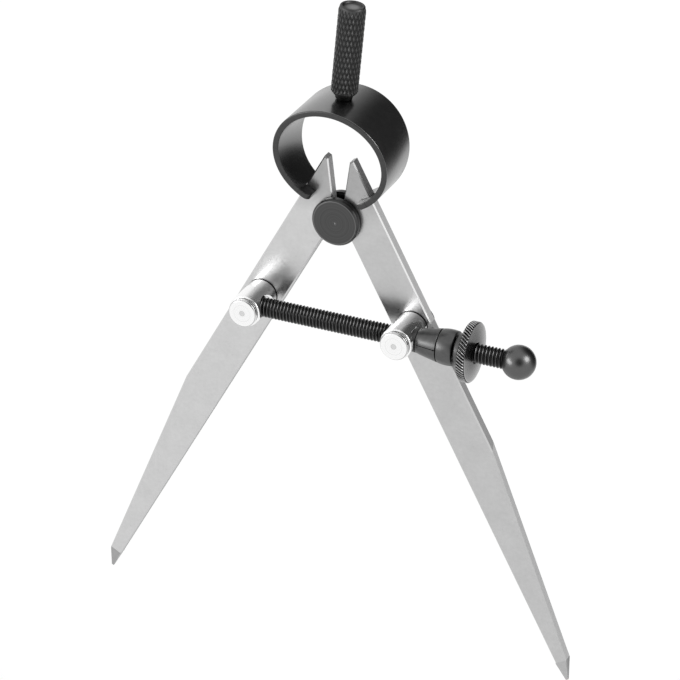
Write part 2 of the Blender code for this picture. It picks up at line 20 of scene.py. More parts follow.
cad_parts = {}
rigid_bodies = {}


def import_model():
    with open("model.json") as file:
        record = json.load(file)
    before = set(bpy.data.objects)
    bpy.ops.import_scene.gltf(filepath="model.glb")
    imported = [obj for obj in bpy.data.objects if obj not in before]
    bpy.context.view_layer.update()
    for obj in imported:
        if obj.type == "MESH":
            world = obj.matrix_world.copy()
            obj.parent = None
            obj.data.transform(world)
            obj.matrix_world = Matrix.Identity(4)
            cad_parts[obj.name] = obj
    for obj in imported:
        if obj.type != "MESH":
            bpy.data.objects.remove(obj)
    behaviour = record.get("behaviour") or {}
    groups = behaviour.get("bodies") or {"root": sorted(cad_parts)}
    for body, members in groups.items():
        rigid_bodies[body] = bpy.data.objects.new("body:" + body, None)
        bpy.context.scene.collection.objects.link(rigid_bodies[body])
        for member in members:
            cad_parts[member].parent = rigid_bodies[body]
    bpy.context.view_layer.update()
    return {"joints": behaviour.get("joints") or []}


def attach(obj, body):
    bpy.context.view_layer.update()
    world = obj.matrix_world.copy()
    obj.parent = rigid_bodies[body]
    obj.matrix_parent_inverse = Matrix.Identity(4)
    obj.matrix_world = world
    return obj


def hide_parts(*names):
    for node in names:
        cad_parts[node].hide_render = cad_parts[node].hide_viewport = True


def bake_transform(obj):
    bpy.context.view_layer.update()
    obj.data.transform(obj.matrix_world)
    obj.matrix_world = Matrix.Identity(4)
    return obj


LOG = logging.getLogger("divider")

SMOOTH_BELOW = math.radians(28.0)
STRIP_SMOOTH_BELOW = math.radians(40.0)
ROUND_SIDES = 128
RING_SIDES = 64
CORNER_STEPS = 3
NOISE_ROUGHNESS = 0.6
FLOOR_NUDGE = 0.0005
ALONG_X = Vector((1, 0, 0))
NUT_AXIS = (1.0, 0.0, 0.0)
GRIP_AXIS = (0.081069, 0.996709, 0.0)

Piece = bpy.types.Object
Face = bpy.types.MeshPolygon
Material = bpy.types.Material
Shape = bmesh.types.BMesh
Section = list[tuple[float, float]]
Triple = tuple[float, float, float]


class Slot(Enum):
    """The record's material slots, one named for each piece."""

    GROUND = "ground_steel"
    BRIGHT = "bright_steel"
    BLACK = "black_oxide"
    DARK = "dark_steel"


class Side(Enum):
    """Which leg a piece belongs to: the value is the sign of its X."""

    LEFT = -1
    RIGHT = 1

    @property
    def word(self) -> str:
        """The side's name as the nodes and bodies spell it."""
        return self.name.lower()


# Shader sockets and trees


class Sock:
    """A value in a node tree that takes part in Python arithmetic."""

    def __init__(self, tree: Tree, output: bpy.types.NodeSocket) -> None:
        """Wraps an output socket of a tree."""
        self.tree = tree
        self.output = output

    def __add__(self, other: Sock | float) -> Sock:
        """The sum."""
        return self.tree.maths("ADD", self, other)

    __radd__ = __add__

    def __sub__(self, other: Sock | float) -> Sock:
        """The difference."""
        return self.tree.maths("SUBTRACT", self, other)

    def __rsub__(self, other: Sock | float) -> Sock:
        """The difference from a number."""
        return self.tree.maths("SUBTRACT", other, self)

    def __mul__(self, other: Sock | float) -> Sock:
        """The product."""
        return self.tree.maths("MULTIPLY", self, other)

    __rmul__ = __mul__

    def __truediv__(self, other: Sock | float) -> Sock:
        """The quotient."""
        return self.tree.maths("DIVIDE", self, other)


class Tree:
    """A node tree with one way to add every node."""

    def __init__(self, nodes: bpy.types.NodeTree) -> None:
        """Wraps a shader or geometry node tree."""
        self.tree = nodes

    def node(
        self, kind: str, settings: dict | None = None, inputs: dict | None = None, output: int | str = 0
    ) -> Sock:
        """Adds a node.

        Args:
            kind: The node's type.
            settings: What is set on the node first, such as a Math node's operation. "stops" sets a
                colour ramp's stops as (position, grey) pairs.
            inputs: The values or links of its sockets, by name or number.
            output: The socket that is returned.

        Returns:
            The chosen output.
        """
        made = self.tree.nodes.new(kind)
        for name, value in (settings or {}).items():
            if name == "stops":
                self._set_stops(made.color_ramp, value)
            else:
                setattr(made, name, value)
        for name, value in (inputs or {}).items():
            self.feed(made.inputs[name], value)
        return Sock(self, made.outputs[output])

    def feed(self, socket: bpy.types.NodeSocket, value: object) -> None:
        """Links a wrapped output to a socket, or sets a plain value there."""
        if isinstance(value, Sock):
            self.tree.links.new(value.output, socket)
        else:
            socket.default_value = value

    @staticmethod
    def _set_stops(ramp: bpy.types.ColorRamp, stops: Section) -> None:
        """Puts a colour ramp's stops in place.

        Args:
            ramp: The ramp.
            stops: Its (position, grey) pairs.
        """
        while len(ramp.elements) < len(stops):
            ramp.elements.new(1.0)
        for element, (position, grey) in zip(ramp.elements, stops):
            element.position = position
            element.color = (grey, grey, grey, 1.0)

    def maths(self, operation: str, *values: Sock | float) -> Sock:
        """Adds a Math node."""
        return self.node("ShaderNodeMath", {"operation": operation}, dict(enumerate(values)))

    def vector(self, operation: str, *values: Sock | Vector | Triple, output: str = "Vector") -> Sock:
        """Adds a Vector Math node."""
        return self.node("ShaderNodeVectorMath", {"operation": operation}, dict(enumerate(values)), output)

    def rays(self, *kinds: str) -> list[Sock]:
        """For each named kind of ray, such as Camera, 1 on it and 0 on others."""
        path = self.tree.nodes.new("ShaderNodeLightPath")
        return [Sock(self, path.outputs[f"Is {kind} Ray"]) for kind in kinds]

    def ramp(self, value: Sock, low: float, high: float, first: float = 0.0, last: float = 1.0) -> Sock:
        """A smooth step from one level to another.

        Args:
            value: What the step depends on.
            low: The value where it starts.
            high: The value where it ends.
            first: The level up to the start.
            last: The level from the end on.

        Returns:
            The level.
        """
        ends = {"Value": value, "From Min": low, "From Max": high, "To Min": first, "To Max": last}
        return self.node("ShaderNodeMapRange", {"interpolation_type": "SMOOTHSTEP"}, ends)


class Paint(Tree):
    """The node tree of one material, around its main shader."""

    def __init__(self, name: str) -> None:
        """Makes the material and finds its shader."""
        self.material = bpy.data.materials.new(name)
        self.material.use_nodes = True
        super().__init__(self.material.node_tree)
        self.shader = self.tree.nodes["Principled BSDF"]

    def put(self, **values: Sock | float | tuple) -> None:
        """Sets or links the shader's sockets; a name's underscores stand for spaces."""
        for name, value in values.items():
            self.feed(self.shader.inputs[name.replace("_", " ")], value)

    def place(self, centre: Vector) -> Sock:
        """Object coordinates about a centre."""
        return self.vector("SUBTRACT", self.node("ShaderNodeTexCoord", output="Object"), centre)

    def noise(self, where: Sock, scale: float, detail: float = 3.0) -> Sock:
        """Soft noise from 0 to 1 at a place."""
        settings = {"Vector": where, "Scale": scale, "Detail": detail, "Roughness": NOISE_ROUGHNESS}
        return self.node("ShaderNodeTexNoise", inputs=settings)

    def radius(self, centre: Vector, axis: Triple) -> Sock:
        """The distance from an axis through a centre."""
        off = self.vector("CROSS_PRODUCT", self.place(centre), Vector(axis).normalized())
        return self.vector("LENGTH", off, output="Value")

    def grey(self, level: Sock) -> Sock:
        """A neutral colour from a level."""
        return self.node("ShaderNodeCombineColor", inputs={0: level, 1: level, 2: level})

    def dent(self, height: Sock, depth: float) -> None:
        """Sends a height in units of a depth in metres to the shader's normal."""
        settings = {"Height": height, "Distance": depth, "Strength": 1.0}
        self.put(Normal=self.node("ShaderNodeBump", inputs=settings))


# Finishes


@dataclass(frozen=True)
class Finish:
    """A plain finish: a grey with its gloss, and a fine unevenness of both."""

    name: str
    grey: float
    roughness: float
    metallic: float = 1.0
    spread: float = 0.0
    grain: float = 2500.0
    rough_spread: float = 0.0
    bump: float = 0.0

    def material(self, centre: Vector = Vector()) -> Material:
        """Builds the material.

        Args:
            centre: The middle of the piece, for finishes that turn about it.

        Returns:
            The Blender material.
        """
        paint = Paint(self.name)
        level = (self.grey, self.grey, self.grey, 1.0)
        paint.put(Base_Color=level, Roughness=self.roughness, Metallic=self.metallic)
        if self.spread or self.rough_spread or self.bump:
            grain = paint.noise(paint.place(centre), self.grain)
            swing = grain * 2 - 1
            if self.spread:
                paint.put(Base_Color=paint.grey(self.tone(paint) + swing * self.spread))
            if self.rough_spread:
                paint.put(Roughness=self.roughness + swing * self.rough_spread)
            if self.bump:
                paint.dent(grain, self.bump)
        self.detail(paint, centre)
        return paint.material

    def tone(self, paint: Paint) -> Sock | float:
        """The grey that the grain varies."""
        return self.grey

    def detail(self, paint: Paint, centre: Vector) -> None:
        """Adds what a special finish has; a plain one has nothing more."""


@dataclass(frozen=True)
class GroundFinish(Finish):
    """A ground finish with soft clouds, and painted shade that darkens it up the tongues above the fulcrum,
    inside the bow.
    """

    cloud: float = 160.0
    cloud_spread: float = 0.05
    tongue_low: float = 0.034
    tongue_high: float = 0.044
    tongue_shade_grey: float = 0.40

    def tone(self, paint: Paint) -> Sock:
        """The grey with its clouds, darkened up the tongues by painted shade."""
        here = paint.place(Vector())
        height = paint.node("ShaderNodeSeparateXYZ", inputs={0: here}, output="Y")
        # Painted shade: the grey falls to the tongues' darker grey between tongue_low and tongue_high.
        level = paint.ramp(height, self.tongue_low, self.tongue_high, self.grey, self.tongue_shade_grey)
        return level + (paint.noise(here, self.cloud) * 2 - 1) * self.cloud_spread


@dataclass(frozen=True)
class TurnedFinish(Finish):
    """A lathe finish: fine rings about an axis, with a tone that changes from ring to ring, and painted light
    and shade by radius.
    """

    axis: Triple = (0.0, 0.0, 1.0)
    ring_pitch: float = 0.0004
    ring_depth: float = 0.0000015
    ring_tone: float = 0.10
    reach: float = 0.0046
    # Greys by radius: mostly painted light and shade, with a few turned rings.
    rings_and_painted_light: tuple[tuple[float, float], ...] = ((0.0, 1.0), (1.0, 1.0))

    def detail(self, paint: Paint, centre: Vector) -> None:
        """Adds the rings about the axis, and the painted light and shade by radius.

        Args:
            paint: The material's tree.
            centre: A point on the axis.
        """
        radius = paint.radius(centre, self.axis)
        line = paint.node("ShaderNodeCombineXYZ", inputs={0: radius})
        uneven = paint.noise(line, 1 / self.ring_pitch, 2.0) * 2 - 1
        # The painted light and shade, read off by radius.
        shade = paint.node("ShaderNodeValToRGB", {"stops": self.rings_and_painted_light}, {0: radius / self.reach})
        tone = paint.node("ShaderNodeRGBToBW", inputs={0: shade})
        paint.put(Base_Color=paint.grey(tone * (uneven * self.ring_tone + 1) * self.grey))
        paint.dent(uneven, self.ring_depth)


@dataclass(frozen=True)
class RidgedFinish(Finish):
    """A black finish with painted highlights on the crests of ridges that stand round an axis, and painted
    shade in their valleys.
    """

    axis: Triple = NUT_AXIS
    valley: float = 0.002
    crest: float = 0.02
    floor_grey: float = 0.012

    def detail(self, paint: Paint, centre: Vector) -> None:
        """Lets the tone rise from the painted shade of the valleys to the painted highlights of the crests.

        Args:
            paint: The material's tree.
            centre: A point on the axis.
        """
        radius = paint.radius(centre, self.axis)
        level = paint.ramp(radius, self.valley, self.crest, self.floor_grey, self.grey)
        paint.put(Base_Color=paint.grey(level))


GROUND_STEEL = GroundFinish(
    "ground_steel", 0.60, 0.30, spread=0.05, grain=900.0, rough_spread=0.06, bump=0.000003
)
# Painted shade: the right leg's ground steel is a copy of the left's, painted darker.
GROUND_STEEL_RIGHT_SHADED = replace(GROUND_STEEL, name="ground_steel_right", grey=0.53)
# Painted highlight: the outer arris up to bright_arris_end is painted brighter than the ground steel; the
# rest keeps the ground grey.
HIGHLIT_ARRIS_STEEL = Finish("arris_steel", 0.85, 0.22, rough_spread=0.03)
SOFT_ARRIS_STEEL = Finish("soft_arris_steel", 0.60, 0.30, rough_spread=0.03)
EDGE_STEEL = Finish("edge_steel", 0.62, 0.45, 0.35, spread=0.05, grain=700.0, bump=0.000003)
# Painted shade: a darker copy of the edge steel for the outer side between bright_arris_end and the taper.
SHADOWED_EDGE_STEEL = replace(EDGE_STEEL, name="dim_edge_steel", grey=0.42)
POINT_STEEL = Finish("point_steel", 0.37, 0.35, spread=0.05, grain=900.0, bump=0.000003)
# Painted light: the right leg's point is a copy of the left's, painted lighter.
POINT_STEEL_RIGHT_LIT = replace(POINT_STEEL, name="point_steel_right", grey=0.46)
SHADED_STEEL = Finish("shaded_steel", 0.03, 0.40, spread=0.02)
# Posts: painted shade in the head's dimple and in a dark ring on its chamfer; the ring at half the radius is
# a turned ring.
BRIGHT_STEEL = TurnedFinish(
    "bright_steel", 0.93, 0.22, ring_tone=0.05,
    rings_and_painted_light=(
        (0.0, 0.70), (0.12, 0.74), (0.16, 0.58), (0.19, 0.98), (0.50, 1.0), (0.53, 0.88), (0.56, 1.0),
        (0.835, 1.0), (0.855, 0.50), (0.885, 0.60), (0.905, 1.0),
    ),
)
SPOT_STEEL = Finish("spot_steel", 0.90, 0.55, 0.3, spread=0.04, grain=900.0)
BOW_BLACK = Finish("bow_black", 0.22, 0.24, spread=0.02, rough_spread=0.03, grain=500.0)
# Painted shade: the strip's inner side is a darker copy of its outer black.
BOW_INNER_SHADED = Finish("bow_inner", 0.16, 0.24, spread=0.006, rough_spread=0.03, grain=500.0)
RIM_BLACK = Finish("rim_black", 0.070, 0.36, spread=0.02, grain=1800.0, bump=0.000003)
GRIP_BLACK = Finish("grip_black", 0.075, 0.46, spread=0.02, grain=1500.0)
# The knurl, the thread and the teeth: painted highlights on the crests, painted shade in the valleys.
KNURL_BLACK = RidgedFinish(
    "knurl_black", 0.088, 0.46, axis=GRIP_AXIS, valley=0.00348, crest=0.00370, floor_grey=0.02
)
THREAD_BLACK = RidgedFinish("thread_black", 0.12, 0.36, valley=0.00258, crest=0.00276)
SCREW_BLACK = Finish("screw_black", 0.03, 0.30)
NUT_BLACK = Finish("nut_black", 0.105, 0.35, spread=0.025, rough_spread=0.06, grain=900.0)
TOOTH_BLACK = RidgedFinish("tooth_black", 0.42, 0.30, valley=0.00822, crest=0.00850)
# Wheel face: painted shade of the screw near the hub, rising to a painted highlight near the rim.
WHEEL_BLACK = TurnedFinish(
    "wheel_black", 0.27, 0.25, axis=NUT_AXIS, ring_tone=0.12, reach=0.0085,
    rings_and_painted_light=((0.0, 0.40), (0.36, 0.45), (0.60, 0.80), (0.90, 1.35), (0.97, 2.0)),
)
BALL_BLACK = Finish("ball_black", 0.12, 0.30, spread=0.015, rough_spread=0.05, grain=400.0)
WASHER_GREY = Finish("washer_grey", 0.07, 0.40)
# Grip's end dish: painted light in its middle, falling to painted shade at its edge.
DISH_GREY = TurnedFinish(
    "dish_grey", 0.30, 0.46, axis=GRIP_AXIS, ring_tone=0.15, reach=0.0027,
    rings_and_painted_light=((0.0, 1.1), (0.45, 0.9), (0.80, 0.30), (1.0, 0.18)),
)
# Fulcrum discs: a painted highlight in the centre dimple and a painted highlight ring inside the chamfer,
# over turned rings.
DISC_DARK = TurnedFinish(
    "disc_dark", 0.078, 0.34, ring_tone=0.38, ring_depth=0.000003, reach=0.0069,
    rings_and_painted_light=((0.0, 3.0), (0.03, 2.0), (0.05, 1.0), (0.885, 1.0), (0.90, 2.0), (0.915, 2.0), (0.93, 0.9)),
)
# Painted shade: a near-black for parts sunk in gaps and for stand-ins of shadowed gaps and holes.
SHADE_BLACK = Finish("inner_dark", 0.012, 0.50)


# Meshes


def rounded(points: Section, radius: float, closed: bool = True) -> Section:
    """Rounds the corners of an outline.

    Args:
        points: The corners in order.
        radius: How far a rounding reaches along each edge, at most half of it.
        closed: Whether the last corner joins the first; an open line keeps its two ends.

    Returns:
        The new outline.
    """
    result: Section = []
    for index, point in enumerate(points):
        if not closed and index in (0, len(points) - 1):
            result.append(point)
            continue
        corner = Vector(point)
        before = Vector(points[index - 1]) - corner
        after = Vector(points[(index + 1) % len(points)]) - corner
        reach = min(radius, before.length / 2, after.length / 2)
        low, high = corner + before.normalized() * reach, corner + after.normalized() * reach
        for step in range(CORNER_STEPS + 1):
            share = step / CORNER_STEPS
            result.append(tuple(low.lerp(corner, share).lerp(corner.lerp(high, share), share)))
    return result


def ring(inner: float, outer: float, low: float, high: float) -> Section:
    """The section of a plain ring between two radii and two heights."""
    return [(inner, low), (outer, low), (outer, high), (inner, high)]


def turned(profile: Section, sides: int = ROUND_SIDES, start: float = 0.0, sweep: float = math.tau) -> Shape:
    """Turns a closed section about Z.

    Args:
        profile: (radius, height) points round the section; a zero radius lies on the axis.
        sides: The facets of the sweep.
        start: The angle where a part turn starts.
        sweep: The angle that it goes through.

    Returns:
        The solid.
    """
    shape = bmesh.new()
    full = math.isclose(sweep, math.tau)
    columns = sides if full else sides + 1
    angles = [start + sweep * column / sides for column in range(columns)]
    around = [(math.cos(angle), math.sin(angle)) for angle in angles]
    rings = []
    for radius, height in profile:
        if radius == 0:
            rings.append([shape.verts.new((0, 0, height))] * columns)
        else:
            rings.append([shape.verts.new((radius * x, radius * y, height)) for x, y in around])
    for lower, upper in zip(rings, rings[1:] + rings[:1]):
        for column in range(sides):
            after = (column + 1) % columns
            corners = dict.fromkeys((lower[column], lower[after], upper[after], upper[column]))
            if len(corners) > 2:
                shape.faces.new(list(corners))
    if not full:
        shape.faces.new([ring[0] for ring in rings])
        shape.faces.new([ring[-1] for ring in reversed(rings)])
    return shape


def skin(shape: Shape, rows: list[list[bmesh.types.BMVert]], closed: bool = True) -> None:
    """Joins rows of vertices by faces.

    Args:
        shape: The bmesh of the vertices.
        rows: The rows, all of one length.
        closed: Whether each row closes on itself and the first and last are capped.
    """
    for here, after in zip(rows, rows[1:]):
        for index in range(len(here) if closed else len(here) - 1):
            following = (index + 1) % len(here)
            shape.faces.new((here[index], here[following], after[following], after[index]))
    if closed:
        shape.faces.new(rows[0])
        shape.faces.new(rows[-1])


def place_on(point: Vector, axis: Vector) -> Matrix:
    """The matrix that stands a turned solid on a point, with its Z along an axis."""
    return Matrix.Translation(point) @ axis.to_track_quat("Z", "Y").to_matrix().to_4x4()


def mesh_object(name: str, shape: Shape, place: Matrix = Matrix()) -> Piece:
    """Makes an object at the origin, with its place in its mesh.

    Args:
        name: The object's name.
        shape: A bmesh, which is freed.
        place: Where the shape goes.

    Returns:
        The linked object, shaded smooth with its sharp edges marked.
    """
    shape.transform(place)
    bmesh.ops.recalc_face_normals(shape, faces=shape.faces)
    mesh = bpy.data.meshes.new(name)
    shape.to_mesh(mesh)
    shape.free()
    made = bpy.data.objects.new(name, mesh)
    bpy.context.scene.collection.objects.link(made)
    resharpen(made)
    return made


def resharpen(piece: Piece, angle: float = SMOOTH_BELOW) -> None:
    """Shades a piece smooth, up to an angle between its faces."""
    piece.data.shade_smooth()
    piece.data.set_sharp_from_angle(angle=angle)


def face_out(piece: Piece) -> None:
    """Turns a baked strip's faces outwards and marks its sharp edges.

    Args:
        piece: The strip.
    """
    shape = bmesh.new()
    shape.from_mesh(piece.data)
    bmesh.ops.recalc_face_normals(shape, faces=shape.faces)
    shape.to_mesh(piece.data)
    shape.free()
    resharpen(piece, STRIP_SMOOTH_BELOW)


def bake(piece: Piece) -> None:
    """Turns the result of a piece's modifiers into its plain mesh.

    Args:
        piece: The piece, which has no modifiers afterwards.
    """
    bpy.context.view_layer.update()
    graph = bpy.context.evaluated_depsgraph_get()
    result = bpy.data.meshes.new_from_object(piece.evaluated_get(graph), depsgraph=graph)
    result.name = piece.name
    piece.modifiers.clear()
    piece.data = result


def carve(piece: Piece, *tools: Shape) -> None:
    """Cuts solids out of a piece.

    Args:
        piece: The piece.
        tools: The solids, which stand in their places.
    """
    helpers = []
    for tool in tools:
        helpers.append(mesh_object(piece.name + "_tool", tool))
        cut = piece.modifiers.new("cut", "BOOLEAN")
        cut.operation = "DIFFERENCE"
        cut.solver = "EXACT"
        cut.object = helpers[-1]
    bake(piece)
    for helper in helpers:
        bpy.data.objects.remove(helper, do_unlink=True)
    resharpen(piece)


def register(piece: Piece, slot: Slot, *nodes: str) -> None:
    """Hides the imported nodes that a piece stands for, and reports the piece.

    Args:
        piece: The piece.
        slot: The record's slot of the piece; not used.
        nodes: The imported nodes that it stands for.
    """
    if nodes:
        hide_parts(*nodes)
    LOG.info("%s: %d faces", piece.name, len(piece.data.polygons))


def dress(piece: Piece, finish: Material, slot: Slot, body: str, *nodes: str) -> None:
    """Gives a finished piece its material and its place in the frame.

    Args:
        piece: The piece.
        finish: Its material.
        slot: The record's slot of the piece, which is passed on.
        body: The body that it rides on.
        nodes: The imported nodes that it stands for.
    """
    piece.data.materials.clear()
    piece.data.materials.append(finish)
    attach(piece, body)
    register(piece, slot, *nodes)


def lathe(
    name: str, section: Section, place: Matrix, finish: Material, role: tuple[Slot, str, str],
    corner: float = 0.0, sides: int = ROUND_SIDES,
) -> Piece:
    """Turns a whole piece, stands it in its place and dresses it.

    Args:
        name: The piece's name.
        section: (radius, height) points; a section that starts on the axis also ends there.
        place: Where the piece goes.
        finish: Its material.
        role: Its slot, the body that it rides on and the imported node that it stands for.
        corner: How far its corners are rounded off.
        sides: The facets round it.

    Returns:
        The piece.
    """
    points = rounded(section, corner, section[0][0] > 0) if corner else section
    piece = mesh_object(name, turned(points, sides), place)
    dress(piece, finish, *role)
    return piece


def repaint(piece: Piece, finishes: list[Material], choose: Callable[[Face], int]) -> None:
    """Gives each face of a piece one of several finishes.

    Args:
        piece: The piece.
        finishes: The finishes, by number.
        choose: A function that gives a face's number.
    """
    piece.data.materials.clear()
    for finish in finishes:
        piece.data.materials.append(finish)
    for face in piece.data.polygons:
        face.material_index = int(choose(face))


# Node trees that repeat and bend


class Pattern(Tree):
    """A geometry node tree with named inputs."""

    def __init__(self, name: str) -> None:
        """Makes an empty tree with a geometry input and output."""
        super().__init__(bpy.data.node_groups.new(name, "GeometryNodeTree"))
        for way in ("INPUT", "OUTPUT"):
            self.tree.interface.new_socket("Geometry", in_out=way, socket_type="NodeSocketGeometry")
        self.entry = self.tree.nodes.new("NodeGroupInput")
        self.geometry = Sock(self, self.entry.outputs["Geometry"])

    def ask(self, name: str, kind: str = "Float") -> Sock:
        """Adds a named input of a kind and gives its value inside the tree."""
        self.tree.interface.new_socket(name, in_out="INPUT", socket_type="NodeSocket" + kind)
        return Sock(self, self.entry.outputs[name])

    def close(self, result: Sock) -> None:
        """Gives every face the Material input and ends the tree."""
        material = self.ask("Material", "Material")
        whole = self.node("GeometryNodeRealizeInstances", inputs={0: result})
        done = self.node("GeometryNodeSetMaterial", inputs={"Geometry": whole, "Material": material})
        self.feed(self.tree.nodes.new("NodeGroupOutput").inputs[0], done)

    def run(self, piece: Piece, **values: object) -> None:
        """Runs the tree on a piece and keeps the result as its mesh.

        Args:
            piece: The object whose mesh goes into the tree.
            values: The named inputs; a name's underscores stand for spaces.
        """
        modifier = piece.modifiers.new(self.tree.name, "NODES")
        modifier.node_group = self.tree
        for item in self.tree.interface.items_tree:
            name = item.name.replace(" ", "_")
            if item.in_out == "INPUT" and name in values:
                modifier[item.identifier] = values[name]
        bake(piece)


class RingLattice(Pattern):
    """Repeats one shape round an axis and along it, each second row turned by a share of a place."""

    def __init__(self) -> None:
        """Builds the tree."""
        super().__init__("ring_lattice")
        radius, columns, rows = self.ask("Radius"), self.ask("Columns", "Int"), self.ask("Rows", "Int")
        pitch, stagger, weld = self.ask("Row Pitch"), self.ask("Stagger"), self.ask("Weld")
        points = self.node("GeometryNodePoints", inputs={"Count": columns * rows})
        index = self.node("GeometryNodeInputIndex")
        row = self.maths("FLOOR", index / columns + FLOOR_NUDGE)
        turn = self.maths("FLOORED_MODULO", row, 2) * stagger
        angle = (index - row * columns + turn) / columns * math.tau
        x, y = radius * self.maths("COSINE", angle), radius * self.maths("SINE", angle)
        where = self.node("ShaderNodeCombineXYZ", inputs={0: x, 1: y, 2: row * pitch})
        spin = self.node("ShaderNodeCombineXYZ", inputs={2: angle})
        stations = self.node("GeometryNodeSetPosition", inputs={"Geometry": points, "Position": where})
        values = {"Points": stations, "Instance": self.geometry, "Rotation": spin}
        copies = self.node("GeometryNodeInstanceOnPoints", inputs=values)
        whole = self.node("GeometryNodeRealizeInstances", inputs={0: copies})
        self.close(self.node("GeometryNodeMergeByDistance", inputs={"Geometry": whole, "Distance": weld}))


class RolledStrip(Pattern):
    """Rolls a flat strip to an oval: its X is the angle, its Y the place across, its Z the depth."""

    def __init__(self) -> None:
        """Builds the tree."""
        super().__init__("rolled_strip")
        wide, tall, centre = self.ask("Half Width"), self.ask("Half Height"), self.ask("Centre", "Vector")
        flat = self.tree.nodes.new("ShaderNodeSeparateXYZ")
        self.feed(flat.inputs[0], self.node("GeometryNodeInputPosition"))
        angle, across, depth = (Sock(self, output) for output in flat.outputs)
        out, up = (wide - depth) * self.maths("COSINE", angle), (tall - depth) * self.maths("SINE", angle)
        bent = self.node("ShaderNodeCombineXYZ", inputs={0: out, 1: up, 2: across})
        values = {"Geometry": self.geometry, "Position": self.vector("ADD", bent, centre)}
        self.close(self.node("GeometryNodeSetPosition", inputs=values))


# Sub-assemblies


@dataclass
class Layout:
    """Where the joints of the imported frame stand, and the sizes that several pieces share."""

    pivot: Vector
    left_post: Vector
    right_post: Vector
    nut: Vector
    leg_angle: float = math.radians(28.57)
    leg_half: float = 0.0016
    gap: float = 0.0003
    screw_height: float = 0.0085
    screw_bore: float = 0.00296

    @classmethod
    def of(cls, joints: list[dict]) -> Layout:
        """Reads the joints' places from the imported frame."""
        at = {joint["name"]: Vector(joint["pos_m"]) for joint in joints if "pos_m" in joint}
        return cls(at["left_leg_open"], at["left_post_swivel"], at["right_post_swivel"], at["nut_spin"])

    def post(self, side: Side) -> Vector:
        """The foot of a post's axis."""
        return self.left_post if side is Side.LEFT else self.right_post


@dataclass
class BowSpring:
    """The flat spring strip, rolled to an oval, whose slotted ends straddle the legs."""

    layout: Layout
    half_width: float = 0.01681
    half_height: float = 0.01574
    centre: float = 0.02004
    wall: float = 0.0017
    side_half: float = 0.0080
    flare: float = 0.00265
    end: float = math.radians(-64.0)
    leg_edge: float = 0.01257
    end_corner: float = 0.0016
    edge: float = 0.00034
    slot_half: float = 0.00165
    root_steps: int = 40
    stations: int = 180
    prong_stations: int = 40
    foot: tuple[float, float] = (0.0145, 0.0085)
    rim_level: float = 0.35

    def root_angle(self) -> float:
        """Where each slot ends, just clear of the leg's outer edge, as an angle up from +X."""
        lean = self.layout.leg_angle
        low, high = self.end, 0.0
        for _ in range(self.root_steps):
            middle = (low + high) / 2
            reach = []
            for inset in (0.0, self.wall):
                across = (self.half_width - inset) * math.cos(middle) * math.cos(lean)
                along = (self.centre + (self.half_height - inset) * math.sin(middle)) * math.sin(lean)
                reach.append(across + along)
            if min(reach) < self.leg_edge:
                low = middle
            else:
                high = middle
        return high

    def half(self, angle: float) -> float:
        """Half the strip's width, rounded off at the corners of its end.

        Args:
            angle: The angle round the oval.

        Returns:
            The half width there.
        """
        half = self.side_half + self.flare * math.sin(angle)
        from_end = (angle - self.end) * (self.half_width + self.half_height) / 2
        missing = max(0.0, self.end_corner - from_end)
        return half - self.end_corner + math.sqrt(self.end_corner**2 - missing**2)

    def sweep(self, shape: Shape, angles: list[float], line: Callable[[float], tuple[float, float]]) -> None:
        """Adds one strip along the angles.

        Args:
            shape: The bmesh that it goes into.
            angles: The stations.
            line: A function of the angle that gives where the strip starts and ends across.
        """
        rings = []
        for angle in angles:
            low, high = line(angle)
            section = rounded([(low, 0.0), (high, 0.0), (high, self.wall), (low, self.wall)], self.edge)
            rings.append([shape.verts.new((angle, across, depth)) for across, depth in section])
        skin(shape, rings)

    def flat_half(self) -> Shape:
        """The flat right half of the strip: its plain part and the two prongs beside the slot."""
        shape = bmesh.new()
        root = self.root_angle()
        span = math.pi / 2 - root
        plain = [root + span * step / self.stations for step in range(self.stations + 1)]
        self.sweep(shape, plain, lambda angle: (-self.half(angle), self.half(angle)))
        reach = root + span / self.stations - self.end
        shares = [step / self.prong_stations for step in range(self.prong_stations + 1)]
        prong = [self.end + reach * share * share for share in shares]
        self.sweep(shape, prong, lambda angle: (self.slot_half, self.half(angle)))
        self.sweep(shape, prong, lambda angle: (-self.half(angle), -self.slot_half))
        return shape

    def build(self, roll: RolledStrip) -> None:
        """Makes both halves, which meet under the grip.

        Args:
            roll: The node tree that rolls a flat strip.
        """
        finishes = [finish.material() for finish in (BOW_BLACK, RIM_BLACK, BOW_INNER_SHADED)]
        pivot = self.layout.pivot
        centre = pivot + Vector((0, self.centre, 0))
        sizes = {"Half_Width": self.half_width, "Half_Height": self.half_height, "Centre": centre}
        for side in Side:
            shape = self.flat_half()
            if side is Side.LEFT:
                for vertex in shape.verts:
                    vertex.co.x = math.pi - vertex.co.x
            piece = mesh_object("bow_" + side.word, shape)
            roll.run(piece, Material=finishes[0], **sizes)
            face_out(piece)
            repaint(piece, finishes, lambda face: self.surface_of(face, centre))
            foot = pivot + Vector((side.value * self.foot[0], self.foot[1], 0))
            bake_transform(piece)
            register(piece, Slot.BLACK, "bow_spring")

    def surface_of(self, face: Face, centre: Vector) -> int:
        """Which side of the strip a face lies on.

        Args:
            face: The face.
            centre: The middle of the oval.

        Returns:
            0 for the outer side, 1 for the rims and 2 for the inner side.
        """
        if abs(face.normal.z) > self.rim_level:
            return 1
        return 2 if face.normal.dot(face.center - centre) < 0 else 0


